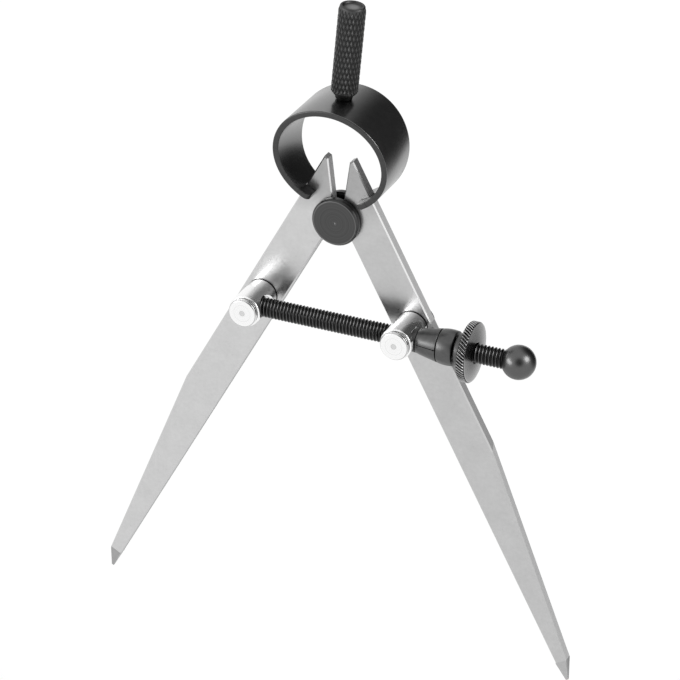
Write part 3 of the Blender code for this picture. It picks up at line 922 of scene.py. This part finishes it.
@dataclass
class Grip:
    """The knurled grip on its stud, leaning a little on the bow's crown."""

    layout: Layout
    radius: float = 0.00372
    length: float = 0.0262
    lean: float = math.radians(4.65)
    foot: tuple[float, float] = (0.00053, 0.03577)
    neck_radius: float = 0.0024
    neck_low: float = 0.0003
    low: float = 0.0010
    lower_chamfer: float = 0.0012
    upper_chamfer: float = 0.0003
    corner: float = 0.00012
    dish_radius: float = 0.0027
    dish_depth: float = 0.0006
    knurl_depth: float = 0.00026
    columns: int = 22
    diamond_height: float = 0.0032
    diamond_flat: float = 0.30
    diamond_sunk: float = 1.25
    rim_land: float = 1.6
    dish_slope: tuple[float, float] = (0.9, 0.8)
    dish_margin: tuple[float, float] = (0.95, 1.2)
    facet_angle: float = math.radians(10.0)
    stud_radius: float = 0.0020
    stud_clearance: float = 0.0001
    head_radius: float = 0.0028
    head_drop: float = 0.0028
    head_thickness: float = 0.0009

    def diamond(self) -> Shape:
        """One raised diamond, standing out along +X from the core."""
        shape = bmesh.new()
        wide, tall = math.pi * self.radius / self.columns, self.diamond_height / 2
        rows = []
        for depth, share in ((-self.knurl_depth * self.diamond_sunk, 1.0), (0, self.diamond_flat)):
            corners = ((wide, 0), (0, tall), (-wide, 0), (0, -tall))
            rows.append([shape.verts.new((depth, across * share, up * share)) for across, up in corners])
        skin(shape, rows)
        return shape

    def turn_down(self, piece: Piece) -> None:
        """Cuts the knurl back to the grip's chamfered ends.

        Args:
            piece: The knurl, in the grip's own frame.
        """
        high = self.low + self.length
        for vertex in piece.data.vertices:
            x, y, z = vertex.co
            lower, upper = z - self.low - self.lower_chamfer, high - z - self.upper_chamfer
            here, room = math.hypot(x, y), self.radius + min(lower, upper)
            if here > room:
                vertex.co.x, vertex.co.y = x * room / here, y * room / here

    def build(self, lattice: RingLattice) -> None:
        """Makes the core, the knurl and the stud.

        Args:
            lattice: The node tree that repeats the diamond.
        """
        axis = Vector((math.sin(self.lean), math.cos(self.lean), 0))
        place = place_on(self.layout.pivot + Vector((*self.foot, 0)), axis)
        black, role = GRIP_BLACK.material(), (Slot.BLACK, "bow", "grip")
        high, root = self.low + self.length, self.radius - self.knurl_depth
        across, down = self.dish_slope
        section = [
            (0, self.low), (self.radius - self.lower_chamfer, self.low),
            (root, self.low + self.lower_chamfer), (root, high - self.upper_chamfer),
            (self.radius - self.upper_chamfer * self.rim_land, high), (self.dish_radius, high),
            (self.dish_radius * across, high - self.dish_depth * down), (0, high - self.dish_depth),
        ]
        core = lathe("grip_core", section, place, black, role, self.corner)
        unplace = place.inverted()
        finishes = [black, DISH_GREY.material(place.translation)]
        repaint(core, finishes, lambda face: self.in_dish(unplace @ face.center))
        knurl = mesh_object("grip_knurl", self.diamond())
        pitch = self.diamond_height / 2
        rows = int(self.length / pitch) - 1
        lit_crests = KNURL_BLACK.material(place.translation)
        sizes = {"Radius": self.radius, "Columns": self.columns, "Rows": rows, "Row_Pitch": pitch}
        lattice.run(knurl, Stagger=0.5, Material=lit_crests, **sizes)
        knurl.data.transform(Matrix.Translation((0, 0, self.low + (self.length - pitch * (rows - 1)) / 2)))
        self.turn_down(knurl)
        knurl.data.transform(place)
        resharpen(knurl, self.facet_angle)
        dress(knurl, lit_crests, *role)
        head, top = -self.head_drop - self.head_thickness, self.low - self.stud_clearance
        stud = [
            (0, head), (self.head_radius, head), (self.head_radius, -self.head_drop),
            (self.stud_radius, -self.head_drop), (self.stud_radius, self.neck_low),
            (self.neck_radius, self.neck_low), (self.neck_radius, top), (0, top),
        ]
        role = (Slot.BLACK, "bow", "grip_stud")
        # The stud takes the painted shade of the gap under the grip.
        lathe("grip_stud_shape", stud, place, SHADE_BLACK.material(), role, self.stud_clearance, RING_SIDES)

    def in_dish(self, middle: Vector) -> bool:
        """Whether a face lies in the dish, from its middle in the grip's own frame."""
        across, down = self.dish_margin
        deep = middle.z > self.low + self.length - self.dish_depth * down
        return deep and math.hypot(middle.x, middle.y) < self.dish_radius * across


class LegFace(IntEnum):
    """The kinds of face on a leg, in the order of its finishes."""

    GROUND = 0
    # painted highlight on the outer arris
    ARRIS = 1
    EDGE = 2
    SHADED = 3
    SOFT_ARRIS = 4
    # painted shade on part of the outer side
    DIM_EDGE = 5
    POINT = 6


@dataclass
class Legs:
    """The two flat legs with their notched tongues and ground points."""

    layout: Layout
    length: float = 0.150
    outer: float = 0.01252
    inner: float = 0.00089
    arris: float = 0.00034
    left_taper: tuple[float, float] = (0.0750, 0.0750)
    right_taper: tuple[float, float] = (0.0771, 0.0748)
    bright_arris_end: float = 0.036
    taper_end: float = 0.00378
    bevel_length: float = 0.0065
    point_width: float = 0.0007
    point_half: float = 0.00035
    tongue_length: float = 0.0141
    tongue_end: float = 0.0012
    tongue_angle: float = math.radians(36.0)
    notch: float = 0.0043
    notch_steps: int = 24
    flat_level: float = 0.93
    slanted: float = 0.2
    facing: float = 0.9

    def outline(self, taper_start: float) -> Section:
        """The leg's flat outline.

        Args:
            taper_start: Where along the leg its outer edge starts to run in.

        Returns:
            Its (along, outwards) points.
        """
        bevel_start = self.length - self.bevel_length
        share = (bevel_start - taper_start) / (self.length - taper_start)
        bevel_outer = self.outer + share * (self.taper_end - self.outer)
        slope = Vector((math.cos(self.tongue_angle), -math.sin(self.tongue_angle)))
        end = Vector((-self.tongue_length, self.outer - self.tongue_end))
        half = end.dot(slope)
        run = -half - math.sqrt(half * half - end.length_squared + self.notch * self.notch)
        meet = end + slope * run
        first, last = math.asin(self.inner / self.notch), math.atan2(meet.y, meet.x)
        steps = range(self.notch_steps + 1)
        angles = [first + (last - first) * step / self.notch_steps for step in steps]
        arc = [(self.notch * math.cos(angle), self.notch * math.sin(angle)) for angle in angles]
        tail = [
            tuple(end), (-self.tongue_length, self.outer), (self.bright_arris_end, self.outer),
            (taper_start, self.outer), (bevel_start, bevel_outer),
        ]
        return [(bevel_start, self.inner), *arc, *tail]

    def shape(self, side: Side) -> Shape:
        """The solid leg, flat about its own axis, with its arrises broken.

        Args:
            side: Which leg it is.

        Returns:
            The solid.
        """
        shape = bmesh.new()
        tapers = self.left_taper if side is Side.LEFT else self.right_taper
        rims, tip = [], []
        for sign, taper in zip((1, -1), tapers):
            half, point = sign * self.layout.leg_half, sign * self.point_half
            points = self.outline(taper)
            rims.append([shape.verts.new((along, side.value * out, half)) for along, out in points])
            outs = (self.inner, self.inner + self.point_width)
            tip.append([shape.verts.new((self.length, side.value * out, point)) for out in outs])
        flats = [shape.faces.new(rim) for rim in rims]
        skin(shape, rims, closed=False)
        ends = [[rim[0], rim[-1]] for rim in rims]
        for (inner, outer), (inner_tip, outer_tip) in zip(ends, tip):
            shape.faces.new((inner, outer, outer_tip, inner_tip))
        for front, back, back_tip, front_tip in zip(*ends, *reversed(tip)):
            shape.faces.new((front, back, back_tip, front_tip))
        shape.faces.new((*tip[0], *reversed(tip[1])))
        ground = set(sum(ends, []))
        rim_edges = {edge for flat in flats for edge in flat.edges}
        edges = [edge for edge in rim_edges if not set(edge.verts) <= ground]
        bmesh.ops.recalc_face_normals(shape, faces=shape.faces)
        bmesh.ops.bevel(shape, geom=edges, offset=self.arris, segments=1, affect="EDGES")
        return shape

    def build(self) -> None:
        """Makes both legs."""
        shared = (HIGHLIT_ARRIS_STEEL, EDGE_STEEL, SHADED_STEEL, SOFT_ARRIS_STEEL, SHADOWED_EDGE_STEEL)
        shared = [finish.material() for finish in shared]
        # Each leg's copies differ only by the light and shade painted on them.
        own = {Side.LEFT: (GROUND_STEEL, POINT_STEEL), Side.RIGHT: (GROUND_STEEL_RIGHT_SHADED, POINT_STEEL_RIGHT_LIT)}
        for side in Side:
            turn = side.value * self.layout.leg_angle - math.pi / 2
            place = Matrix.Translation(self.layout.pivot) @ Matrix.Rotation(turn, 4, "Z")
            leg = mesh_object(side.word + "_leg_bar", self.shape(side), place)
            ground, point = (finish.material() for finish in own[side])
            dress(leg, ground, Slot.GROUND, side.word + "_leg", side.word + "_leg")
            unplace = place.inverted()
            repaint(leg, [ground, *shared, point], lambda face: self.kind_of(face, unplace, side))

    def kind_of(self, face: Face, unplace: Matrix, side: Side) -> LegFace:
        """Which kind a face of the leg is.

        Args:
            face: The face.
            unplace: The matrix back to the leg's own axes.
            side: Which leg it is.

        Returns:
            The kind.
        """
        along, level = (unplace @ face.center).x, abs(face.normal.z)
        outwards = (unplace.to_3x3() @ face.normal).y * side.value
        taper = min(self.right_taper)
        if along > self.length - self.bevel_length:
            return LegFace.POINT
        arris, outer = level > self.slanted, outwards > self.slanted
        if level > self.flat_level or (arris and outer and along > taper):
            return LegFace.GROUND
        if arris:
            # The outer arris near the fulcrum takes the painted highlight.
            return LegFace.ARRIS if outer and along < self.bright_arris_end else LegFace.SOFT_ARRIS
        if outwards > self.facing:
            if along < 0:
                return LegFace.SHADED
            # Painted shade on the outer side below the bright arris.
            if self.bright_arris_end < along < taper:
                return LegFace.DIM_EDGE
        return LegFace.EDGE


@dataclass
class Fulcrum:
    """The flanged stud, its roller and the back disc."""

    layout: Layout
    disc_radius: float = 0.0069
    disc_thickness: float = 0.0020
    chamfer: float = 0.0005
    corner: float = 0.00008
    dimple_radius: float = 0.0004
    dimple_depth: float = 0.0003
    roller_radius: float = 0.0040
    roller_corner: float = 0.0001
    bore: float = 0.0023
    rivet: float = 0.0004

    def build(self) -> None:
        """Makes the three pieces of the fulcrum."""
        dark = DISC_DARK.material(self.layout.pivot)
        place = Matrix.Translation(self.layout.pivot)
        inside = self.layout.leg_half + self.layout.gap
        outside = inside + self.disc_thickness
        spigot, tail = self.bore - self.layout.gap, -outside - self.rivet
        face = self.disc_radius - self.chamfer
        stud = [
            (0, tail), (spigot, tail), (spigot, inside), (self.disc_radius, inside),
            (self.disc_radius, outside - self.chamfer), (face, outside), (self.dimple_radius, outside),
            (0, outside - self.dimple_depth),
        ]
        lathe("fulcrum_front", stud, place, dark, (Slot.DARK, "fulcrum", "fulcrum_stud"), self.corner)
        half = self.layout.leg_half
        roller = ring(self.bore, self.roller_radius, -half, half)
        role = (Slot.DARK, "fulcrum", "fulcrum_roller")
        # The roller takes the painted shade of the gap between the tongues.
        lathe("roller", roller, place, SHADE_BLACK.material(), role, self.roller_corner, RING_SIDES)
        disc = [
            (self.bore, -inside), (self.bore, -outside), (face, -outside),
            (self.disc_radius, self.chamfer - outside), (self.disc_radius, -inside),
        ]
        lathe("back_disc", disc, place, dark, (Slot.DARK, "fulcrum", "fulcrum_back_disc"), self.corner)


@dataclass
class Post:
    """A swivel post, cross-drilled for the screw, with its washer behind the leg."""

    layout: Layout
    side: Side
    radius: float = 0.0046
    height: float = 0.0132
    shoulder: float = 0.0003
    corner: float = 0.00007
    groove_radius: float = 0.0037
    groove_width: float = 0.0004
    head_radius: float = 0.00415
    head_thickness: float = 0.0010
    head_chamfer: float = 0.0003
    dimple_radius: float = 0.0008
    dimple_depth: float = 0.0002
    tail_radius: float = 0.0020
    tail_stand: float = 0.0003
    washer_radius: float = 0.0050
    washer_thickness: float = 0.0012
    washer_corner: float = 0.0002
    countersink: float = 0.00035
    spot_reach: float = 0.0033
    spot_radius: float = 0.0036
    spot_facing: float = 0.95
    cut_reach: float = 1.2
    seam_stand: float = 0.00003

    def profile(self, foot: float, tail: float) -> Section:
        """The post's section.

        Args:
            foot: The height of its foot over the leg.
            tail: The height of its tail's end behind the leg.

        Returns:
            Its (radius, height) points.
        """
        top = self.layout.leg_half + self.height
        head = top - self.head_thickness
        groove = head - self.groove_width
        return [
            (0, tail), (self.tail_radius, tail), (self.tail_radius, foot), (self.radius, foot),
            (self.radius, groove - self.shoulder), (self.radius - self.shoulder, groove),
            (self.groove_radius, groove), (self.groove_radius, head), (self.head_radius, head),
            (self.head_radius, top - self.head_chamfer), (self.head_radius - self.head_chamfer, top),
            (self.dimple_radius, top), (0, top - self.dimple_depth),
        ]

    def cuts(self) -> list[Section]:
        """The sections of the cross hole and of the right post's spot face, along the screw."""
        bore, reach = self.layout.screw_bore, self.radius * self.cut_reach
        mouth = self.radius * math.cos(math.asin(bore / self.radius)) - self.countersink
        wide = bore + reach - mouth
        hole = [(0, -reach), (wide, -reach), (bore, -mouth)]
        if self.side is Side.LEFT:
            return [hole + [(bore, mouth), (wide, reach), (0, reach)]]
        return [hole + [(bore, reach), (0, reach)], ring(0, self.spot_radius, self.spot_reach, reach)]

    def build(self) -> None:
        """Makes the post, its washer and a dark ring that paints the shadow in the gap under the post."""
        half, gap = self.layout.leg_half, self.layout.gap
        foot = self.layout.post(self.side)
        place = Matrix.Translation(foot)
        bright = BRIGHT_STEEL.material(foot)
        name, body = self.side.word + "_post", self.side.word + "_swivel"
        back = -half - gap
        low = back - self.washer_thickness
        profile = rounded(self.profile(half + gap, low - self.tail_stand), self.corner, False)
        post = mesh_object(name + "_turning", turned(profile), place)
        across = place_on(foot + Vector((0, 0, self.layout.screw_height)), ALONG_X)
        tools = [turned(section, sides) for section, sides in zip(self.cuts(), (RING_SIDES, ROUND_SIDES))]
        for tool in tools:
            tool.transform(across)
        carve(post, *tools)
        dress(post, bright, Slot.BRIGHT, body, name)
        if self.side is Side.RIGHT:
            edge = foot.x + self.spot_reach - self.shoulder
            finishes = [bright, SPOT_STEEL.material()]
            level = self.spot_facing
            repaint(post, finishes, lambda face: face.normal.x > level and face.center.x > edge)
        # Painted shadow: a thin near-black ring in the gap between the post's foot and the leg.
        stand = self.seam_stand
        gap_shadow = ring(self.tail_radius, self.radius + stand, half + stand, half + gap + stand)
        lathe(name + "_seam", gap_shadow, place, SHADE_BLACK.material(), (Slot.DARK, body, name))
        washer = ring(self.tail_radius + gap, self.washer_radius, low, back)
        role = (Slot.BRIGHT, body, name + "_washer")
        lathe(name + "_back_ring", washer, place, bright, role, self.washer_corner, RING_SIDES)


@dataclass
class AdjustingScrew:
    """The threaded rod with its ball end."""

    layout: Layout
    radius: float = 0.00278
    depth: float = 0.00052
    pitch: float = 0.0010
    tail: float = 0.0034
    ball_centre: float = 0.0568
    ball_radius: float = 0.0048
    ball_rings: int = 48
    ball_sides: int = 96
    seat: float = 0.0029
    sides: int = 40
    weld_share: float = 0.001
    core_end: float = 0.9
    core_fill: float = 1.02
    profile: tuple[tuple[float, float], ...] = (
        (0.0, 1.0), (0.07, 0.92), (0.38, 0.12), (0.50, 0.0), (0.62, 0.12), (0.93, 0.92), (1.0, 1.0),
    )

    def one_turn(self) -> Shape:
        """One turn of the thread as an open ribbon along Z, whose ends meet those of the next turn."""
        shape = bmesh.new()
        lines = []
        for column in range(self.sides + 1):
            angle = math.tau * column / self.sides
            line = []
            for share, crest in self.profile:
                radius = self.radius - self.depth * (1 - crest)
                height = self.pitch * (share + column / self.sides)
                line.append(shape.verts.new((radius * math.cos(angle), radius * math.sin(angle), height)))
            lines.append(line)
        skin(shape, lines, closed=False)
        return shape

    def build(self, lattice: RingLattice) -> None:
        """Makes the thread, its core and the ball.

        Args:
            lattice: The node tree that repeats one turn.
        """
        level = self.layout.left_post + Vector((0, 0, self.layout.screw_height))
        lit_crests = THREAD_BLACK.material(level)
        start = place_on(level - ALONG_X * self.tail, ALONG_X)
        run = self.ball_centre - self.ball_radius + self.seat - level.x + self.tail
        role = (Slot.BLACK, "left_swivel", "adjusting_screw")
        thread = mesh_object("screw_thread", self.one_turn())
        sizes = {"Columns": 1, "Rows": int(run / self.pitch) - 1, "Row_Pitch": self.pitch}
        lattice.run(thread, Weld=self.pitch * self.weld_share, Material=lit_crests, **sizes)
        thread.data.transform(start)
        face_out(thread)
        dress(thread, lit_crests, *role)
        root = self.radius - self.depth
        end, wide = root * self.core_end, root * self.core_fill
        core = [(0, 0), (end, 0), (wide, self.pitch), (wide, run - self.pitch), (0, run)]
        lathe("screw_core", core, start, SCREW_BLACK.material(), role, sides=RING_SIDES)
        radius, rings = self.ball_radius, self.ball_rings
        angles = [math.pi * (ring / rings - 1 / 2) for ring in range(1, rings)]
        arc = [(radius * math.cos(angle), radius * math.sin(angle)) for angle in angles]
        place = place_on(Vector((self.ball_centre, level.y, level.z)), ALONG_X)
        role = (Slot.BLACK, "left_swivel", "ball_knob")
        ball, black = [(0, -radius), *arc, (0, radius)], BALL_BLACK.material()
        lathe("ball_end", ball, place, black, role, sides=self.ball_sides)


@dataclass
class Nut:
    """The quick-release nut: its washer, split cone, ring, collar and thumb wheel."""

    layout: Layout
    washer_radius: float = 0.0034
    washer_thickness: float = 0.0010
    washer_corner: float = 0.0001
    nose: float = 0.00345
    rear: float = 0.00475
    cone: float = 0.00635
    cone_corner: float = 0.00016
    bulge_along: float = 0.20
    bulge_out: float = 0.25
    spigot: float = 0.00345
    spigot_length: float = 0.0010
    nose_shade_line: float = 0.0003
    drill: float = 0.00022
    drill_sides: int = 24
    split_gap: float = math.radians(1.3)
    split_turn: float = math.radians(173.0)
    wire: float = 0.00020
    steps: int = 12
    collar_length: float = 0.0044
    collar_radii: Triple = (0.0048, 0.00505, 0.00488)
    collar_edge: float = 0.00014
    collar_edge_angle: float = math.radians(50.0)
    groove_width: float = 0.0005
    groove_radius: float = 0.0038
    hub_length: float = 0.0022
    hub_radius: float = 0.0045
    wheel_radius: float = 0.00852
    band: float = 0.0024
    corner: float = 0.00008
    wheel_chamfer: float = 0.00012
    tooth_chamfer: float = 0.00032
    dome: float = 0.00042
    teeth: int = 56
    tooth_depth: float = 0.00045
    tooth_slant: float = math.radians(-34.0)
    tooth_crest: float = 0.16
    tooth_sunk: float = 1.3
    rim_sunk: float = 1.25
    facet_angle: float = math.radians(20.0)

    def place(self, along: float = 0.0) -> Matrix:
        """The frame of the nut's axis at a distance from its nose, with its angles as the model has them."""
        turn = Matrix.Rotation(math.pi / 2, 4, "Y")
        return Matrix.Translation(self.layout.nut + ALONG_X * along) @ turn

    def build_cone(self, black: Material) -> None:
        """Makes the washer, the two halves of the split cone and their ring.

        Args:
            black: The nut's finish.
        """
        bore, gap, place, cone = self.layout.screw_bore, self.layout.gap, self.place(), self.cone
        washer = ring(bore, self.washer_radius, -gap - self.washer_thickness, -gap / 2)
        role = (Slot.BLACK, "right_swivel", "seat_washer")
        lathe("seat_ring", washer, place, WASHER_GREY.material(), role, self.washer_corner, RING_SIDES)
        end, bulge = cone + self.spigot_length, self.nose + (self.rear - self.nose) * self.bulge_out
        section = [
            (bore, 0), (self.nose, 0), (bulge, cone * self.bulge_along), (self.rear, cone),
            (self.spigot, cone), (self.spigot, end), (bore, end),
        ]
        sweep, nose = math.pi - 2 * self.split_gap, self.layout.nut.x + self.nose_shade_line
        for name, start in (("upper", self.split_turn - math.pi), ("lower", self.split_turn)):
            shape = turned(rounded(section, self.cone_corner), RING_SIDES, start + self.split_gap, sweep)
            jaw = mesh_object("cone_half_" + name, shape, place)
            dress(jaw, black, Slot.BLACK, "jaw_" + name, "nut_jaw_" + name)
            # Painted shade: the faces at the cone's nose, against the washer, take the screw's near-black.
            repaint(jaw, [black, SCREW_BLACK.material()], lambda face: face.center.x < nose)
        dark, drill = SHADE_BLACK.material(), self.drill
        out = Vector((0, math.sin(self.split_turn), -math.cos(self.split_turn)))
        seat = self.layout.nut + ALONG_X * (cone - drill * 2) + out * (self.rear - drill)
        # Painted shade: a tiny near-black disc on the cone stands for the drilled hole at the split's end.
        mark, role = ring(0, drill, 0, drill), (Slot.BLACK, "jaw_upper", "nut_jaw_upper")
        lathe("cone_drill", mark, place_on(seat, out), dark, role, sides=self.drill_sides)
        height, radius = cone + gap + self.spigot_length / 2 - self.wire, self.spigot + gap + self.wire
        wire = []
        for step in range(self.steps):
            angle = math.tau * step / self.steps
            wire.append((radius + self.wire * math.cos(angle), height + self.wire * math.sin(angle)))
        lathe("closing_ring", wire, place, dark, (Slot.BLACK, "nut", "jaw_ring"), sides=RING_SIDES)

    def build_collar(self, black: Material) -> float:
        """Makes the barrel-shaped collar.

        Args:
            black: The nut's finish.

        Returns:
            Its rear end, measured from the nose.
        """
        gap = self.layout.gap
        low, floor = self.cone + gap, self.cone + self.spigot_length + gap
        high = low + self.collar_length
        pocket = self.spigot + gap + 2 * self.wire + gap / 2
        front, middle, rear = self.collar_radii
        section = [(pocket, floor), (pocket, low)]
        for step in range(self.steps + 1):
            share = step / self.steps
            bulge = front + (rear - front) * share + (middle - (front + rear) / 2) * 4 * share * (1 - share)
            section.append((bulge, low + (high - low) * share))
        section += [(self.layout.screw_bore, high), (self.layout.screw_bore, floor)]
        collar = mesh_object("collar", turned(section), self.place())
        bevel = collar.modifiers.new("soften", "BEVEL")
        bevel.width = self.collar_edge
        bevel.segments = 2
        bevel.limit_method = "ANGLE"
        bevel.angle_limit = self.collar_edge_angle
        bake(collar)
        resharpen(collar)
        dress(collar, black, Slot.BLACK, "nut", "nut_collar")
        return high

    def tooth(self) -> Shape:
        """One slanted ridge across the wheel's rim, standing out along +X."""
        shape = bmesh.new()
        half_pitch = math.pi / self.teeth
        end, slant, floor = self.band / 2, math.tan(self.tooth_slant), -self.tooth_depth * self.tooth_sunk
        share = self.tooth_crest
        rows = []
        for height in (-end, self.tooth_chamfer - end, -end / 2, 0.0, end / 2, end - self.tooth_chamfer, end):
            crest = min(0.0, end - abs(height) - self.tooth_chamfer)
            turn = -height * slant / self.wheel_radius
            row = []
            for depth, shift in ((floor, -1.0), (crest, -share), (crest, share), (floor, 1.0)):
                angle, radius = turn + shift * half_pitch, self.wheel_radius + depth
                across = radius * math.cos(angle) - self.wheel_radius
                row.append(shape.verts.new((across, radius * math.sin(angle), height)))
            rows.append(row)
        skin(shape, rows)
        return shape

    def build_wheel(self, black: Material, low: float, lattice: RingLattice) -> None:
        """Makes the hub, the wheel and the teeth on its rim.

        Args:
            black: The nut's finish.
            low: The collar's rear end.
            lattice: The node tree that repeats the tooth.
        """
        bore, gap, place = self.layout.screw_bore, self.layout.gap, self.place()
        role = (Slot.BLACK, "nut", "thumb_wheel")
        hub_low = low + gap
        groove = hub_low + self.groove_width
        wheel_low = groove + self.hub_length
        wheel_high, hub_high = wheel_low + self.band, wheel_low + gap
        hub = [
            (bore, hub_low), (self.groove_radius, hub_low), (self.groove_radius, groove),
            (self.hub_radius, groove), (self.hub_radius, hub_high), (bore, hub_high),
        ]
        lathe("hub", hub, place, black, role, self.corner)
        rim = self.wheel_radius - self.tooth_depth * self.rim_sunk
        crown = self.wheel_radius - self.wheel_chamfer * 2
        section = [(bore, wheel_low), (rim, wheel_low), (rim, wheel_high - self.wheel_chamfer)]
        for step in range(self.steps + 1):
            radius = crown + (bore - crown) * step / self.steps
            section.append((radius, wheel_high + self.dome * (1 - (radius / crown) ** 2)))
        lathe("wheel", section, place, WHEEL_BLACK.material(self.layout.nut), role, self.corner)
        teeth = mesh_object("wheel_teeth", self.tooth())
        lit_crests = TOOTH_BLACK.material(self.layout.nut)
        lattice.run(teeth, Radius=self.wheel_radius, Columns=self.teeth, Rows=1, Material=lit_crests)
        teeth.data.transform(self.place((wheel_low + wheel_high) / 2))
        resharpen(teeth, self.facet_angle)
        dress(teeth, lit_crests, *role)

    def build(self, lattice: RingLattice) -> None:
        """Makes the whole nut.

        Args:
            lattice: The node tree that repeats the teeth.
        """
        black = NUT_BLACK.material()
        self.build_cone(black)
        self.build_wheel(black, self.build_collar(black), lattice)


# The set and the camera


@dataclass
class Studio:
    """A pale floor under soft light, and the camera at the photograph's angle."""

    layout: Layout
    camera_offset: Triple = (0.309153, 0.377152, 0.712970)
    camera_right: Triple = (0.91475, 0.01344, -0.40380)
    camera_up: Triple = (-0.20115, 0.88192, -0.42633)
    camera_back: Triple = (0.35039, 0.47121, 0.80944)
    lens: float = 166.88
    sensor: float = 36.0
    near: float = 0.01
    floor_centre: Triple = (-0.113, -0.189, -0.26)
    floor_radius: float = 0.25
    floor_white: float = 1.06
    floor_grey: float = 0.8
    floor_roughness: float = 0.9
    floor_gloss: float = 0.1
    shadow_share: float = 0.10
    side_light: float = 0.55
    dark_zones: tuple[tuple[Triple, float, float, float], ...] = (
        ((0.50, 0.28, -0.82), 0.50, 0.93, 0.05), ((0.35, 0.47, 0.81), 0.83, 0.97, 0.1),
    )
    lamp_power: float = 2.6
    lamps: tuple[tuple[str, Triple, float, float], ...] = (
        ("left_softbox", (-0.57, 0.17, 0.53), 0.28, 0.55), ("right_softbox", (0.69, 0.40, 0.02), 0.38, 0.38),
    )

    def add(self, name: str, data: bpy.types.ID, place: Matrix) -> Piece:
        """Links a camera or a lamp.

        Args:
            name: The object's name.
            data: Its camera or lamp data.
            place: Its place about the fulcrum.

        Returns:
            The object.
        """
        made = bpy.data.objects.new(name, data)
        bpy.context.scene.collection.objects.link(made)
        made.matrix_world = Matrix.Translation(self.layout.pivot) @ place
        return made

    def add_camera(self) -> None:
        """Adds the camera."""
        data = bpy.data.cameras.new("camera")
        data.lens = self.lens
        data.sensor_width = self.sensor
        data.clip_start = self.near
        turn = Matrix((self.camera_right, self.camera_up, self.camera_back)).transposed().to_4x4()
        bpy.context.scene.camera = self.add("camera", data, Matrix.Translation(self.camera_offset) @ turn)

    def add_lamps(self) -> None:
        """Adds the softboxes, which face the divider."""
        for name, where, wide, tall in self.lamps:
            data = bpy.data.lights.new(name, "AREA")
            data.shape = "RECTANGLE"
            data.size, data.size_y = wide, tall
            data.energy = self.lamp_power
            turn = (-Vector(where)).to_track_quat("-Z", "Y").to_matrix().to_4x4()
            self.add(name, data, Matrix.Translation(where) @ turn)

    def add_floor(self) -> None:
        """Adds the pale floor, which is white where it is seen and keeps a faint shadow."""
        shape = bmesh.new()
        bmesh.ops.create_circle(shape, cap_ends=True, segments=ROUND_SIDES, radius=self.floor_radius)
        floor = mesh_object("floor", shape, Matrix.Translation(self.layout.pivot + Vector(self.floor_centre)))
        paint = Paint("floor_white")
        grey = (self.floor_grey, self.floor_grey, self.floor_grey, 1.0)
        paint.put(Base_Color=grey, Roughness=self.floor_roughness, Specular_IOR_Level=self.floor_gloss)
        white = paint.node("ShaderNodeEmission", inputs={"Color": (1, 1, 1, 1), "Strength": self.floor_white})
        camera, glossy, through = paint.rays("Camera", "Glossy", "Transmission")
        seen = paint.maths("MAXIMUM", paint.maths("MAXIMUM", camera, glossy), through)
        parts = {0: seen * (1 - self.shadow_share), 1: Sock(paint, paint.shader.outputs[0]), 2: white}
        mix = paint.node("ShaderNodeMixShader", inputs=parts)
        paint.feed(paint.tree.nodes["Material Output"].inputs["Surface"], mix)
        floor.data.materials.append(paint.material)

    def add_world(self) -> None:
        """Adds a plain world, white where the camera sees it and with two dark zones in reflections."""
        world = bpy.data.worlds.new("studio")
        world.use_nodes = True
        bpy.context.scene.world = world
        tree = Tree(world.node_tree)
        camera, glossy = tree.rays("Camera", "Glossy")
        where = tree.node("ShaderNodeTexCoord", output="Generated")
        shown = glossy
        for toward, low, high, level in self.dark_zones:
            near = tree.vector("DOT_PRODUCT", where, toward, output="Value")
            shown *= tree.ramp(near, low, high, 1.0, level)
        background = world.node_tree.nodes["Background"]
        background.inputs["Color"].default_value = (1, 1, 1, 1)
        strength = camera + (1 - camera) * (self.side_light * (1 - glossy) + shown)
        tree.feed(background.inputs["Strength"], strength)

    def build(self) -> None:
        """Sets the stage."""
        bpy.context.scene.view_settings.view_transform = "Standard"
        self.add_camera()
        self.add_floor()
        self.add_world()
        self.add_lamps()


def main() -> None:
    """Builds the divider over its frame, and the set round it."""
    logging.basicConfig(level=logging.INFO, format="%(message)s")
    for old in list(bpy.data.objects):
        bpy.data.objects.remove(old, do_unlink=True)
    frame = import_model()
    layout = Layout.of(frame["joints"])
    lattice, roll = RingLattice(), RolledStrip()
    BowSpring(layout).build(roll)
    Grip(layout).build(lattice)
    Legs(layout).build()
    Fulcrum(layout).build()
    for side in Side:
        Post(layout, side).build()
    AdjustingScrew(layout).build(lattice)
    Nut(layout).build(lattice)
    Studio(layout).build()


if __name__ == "__main__":
    main()
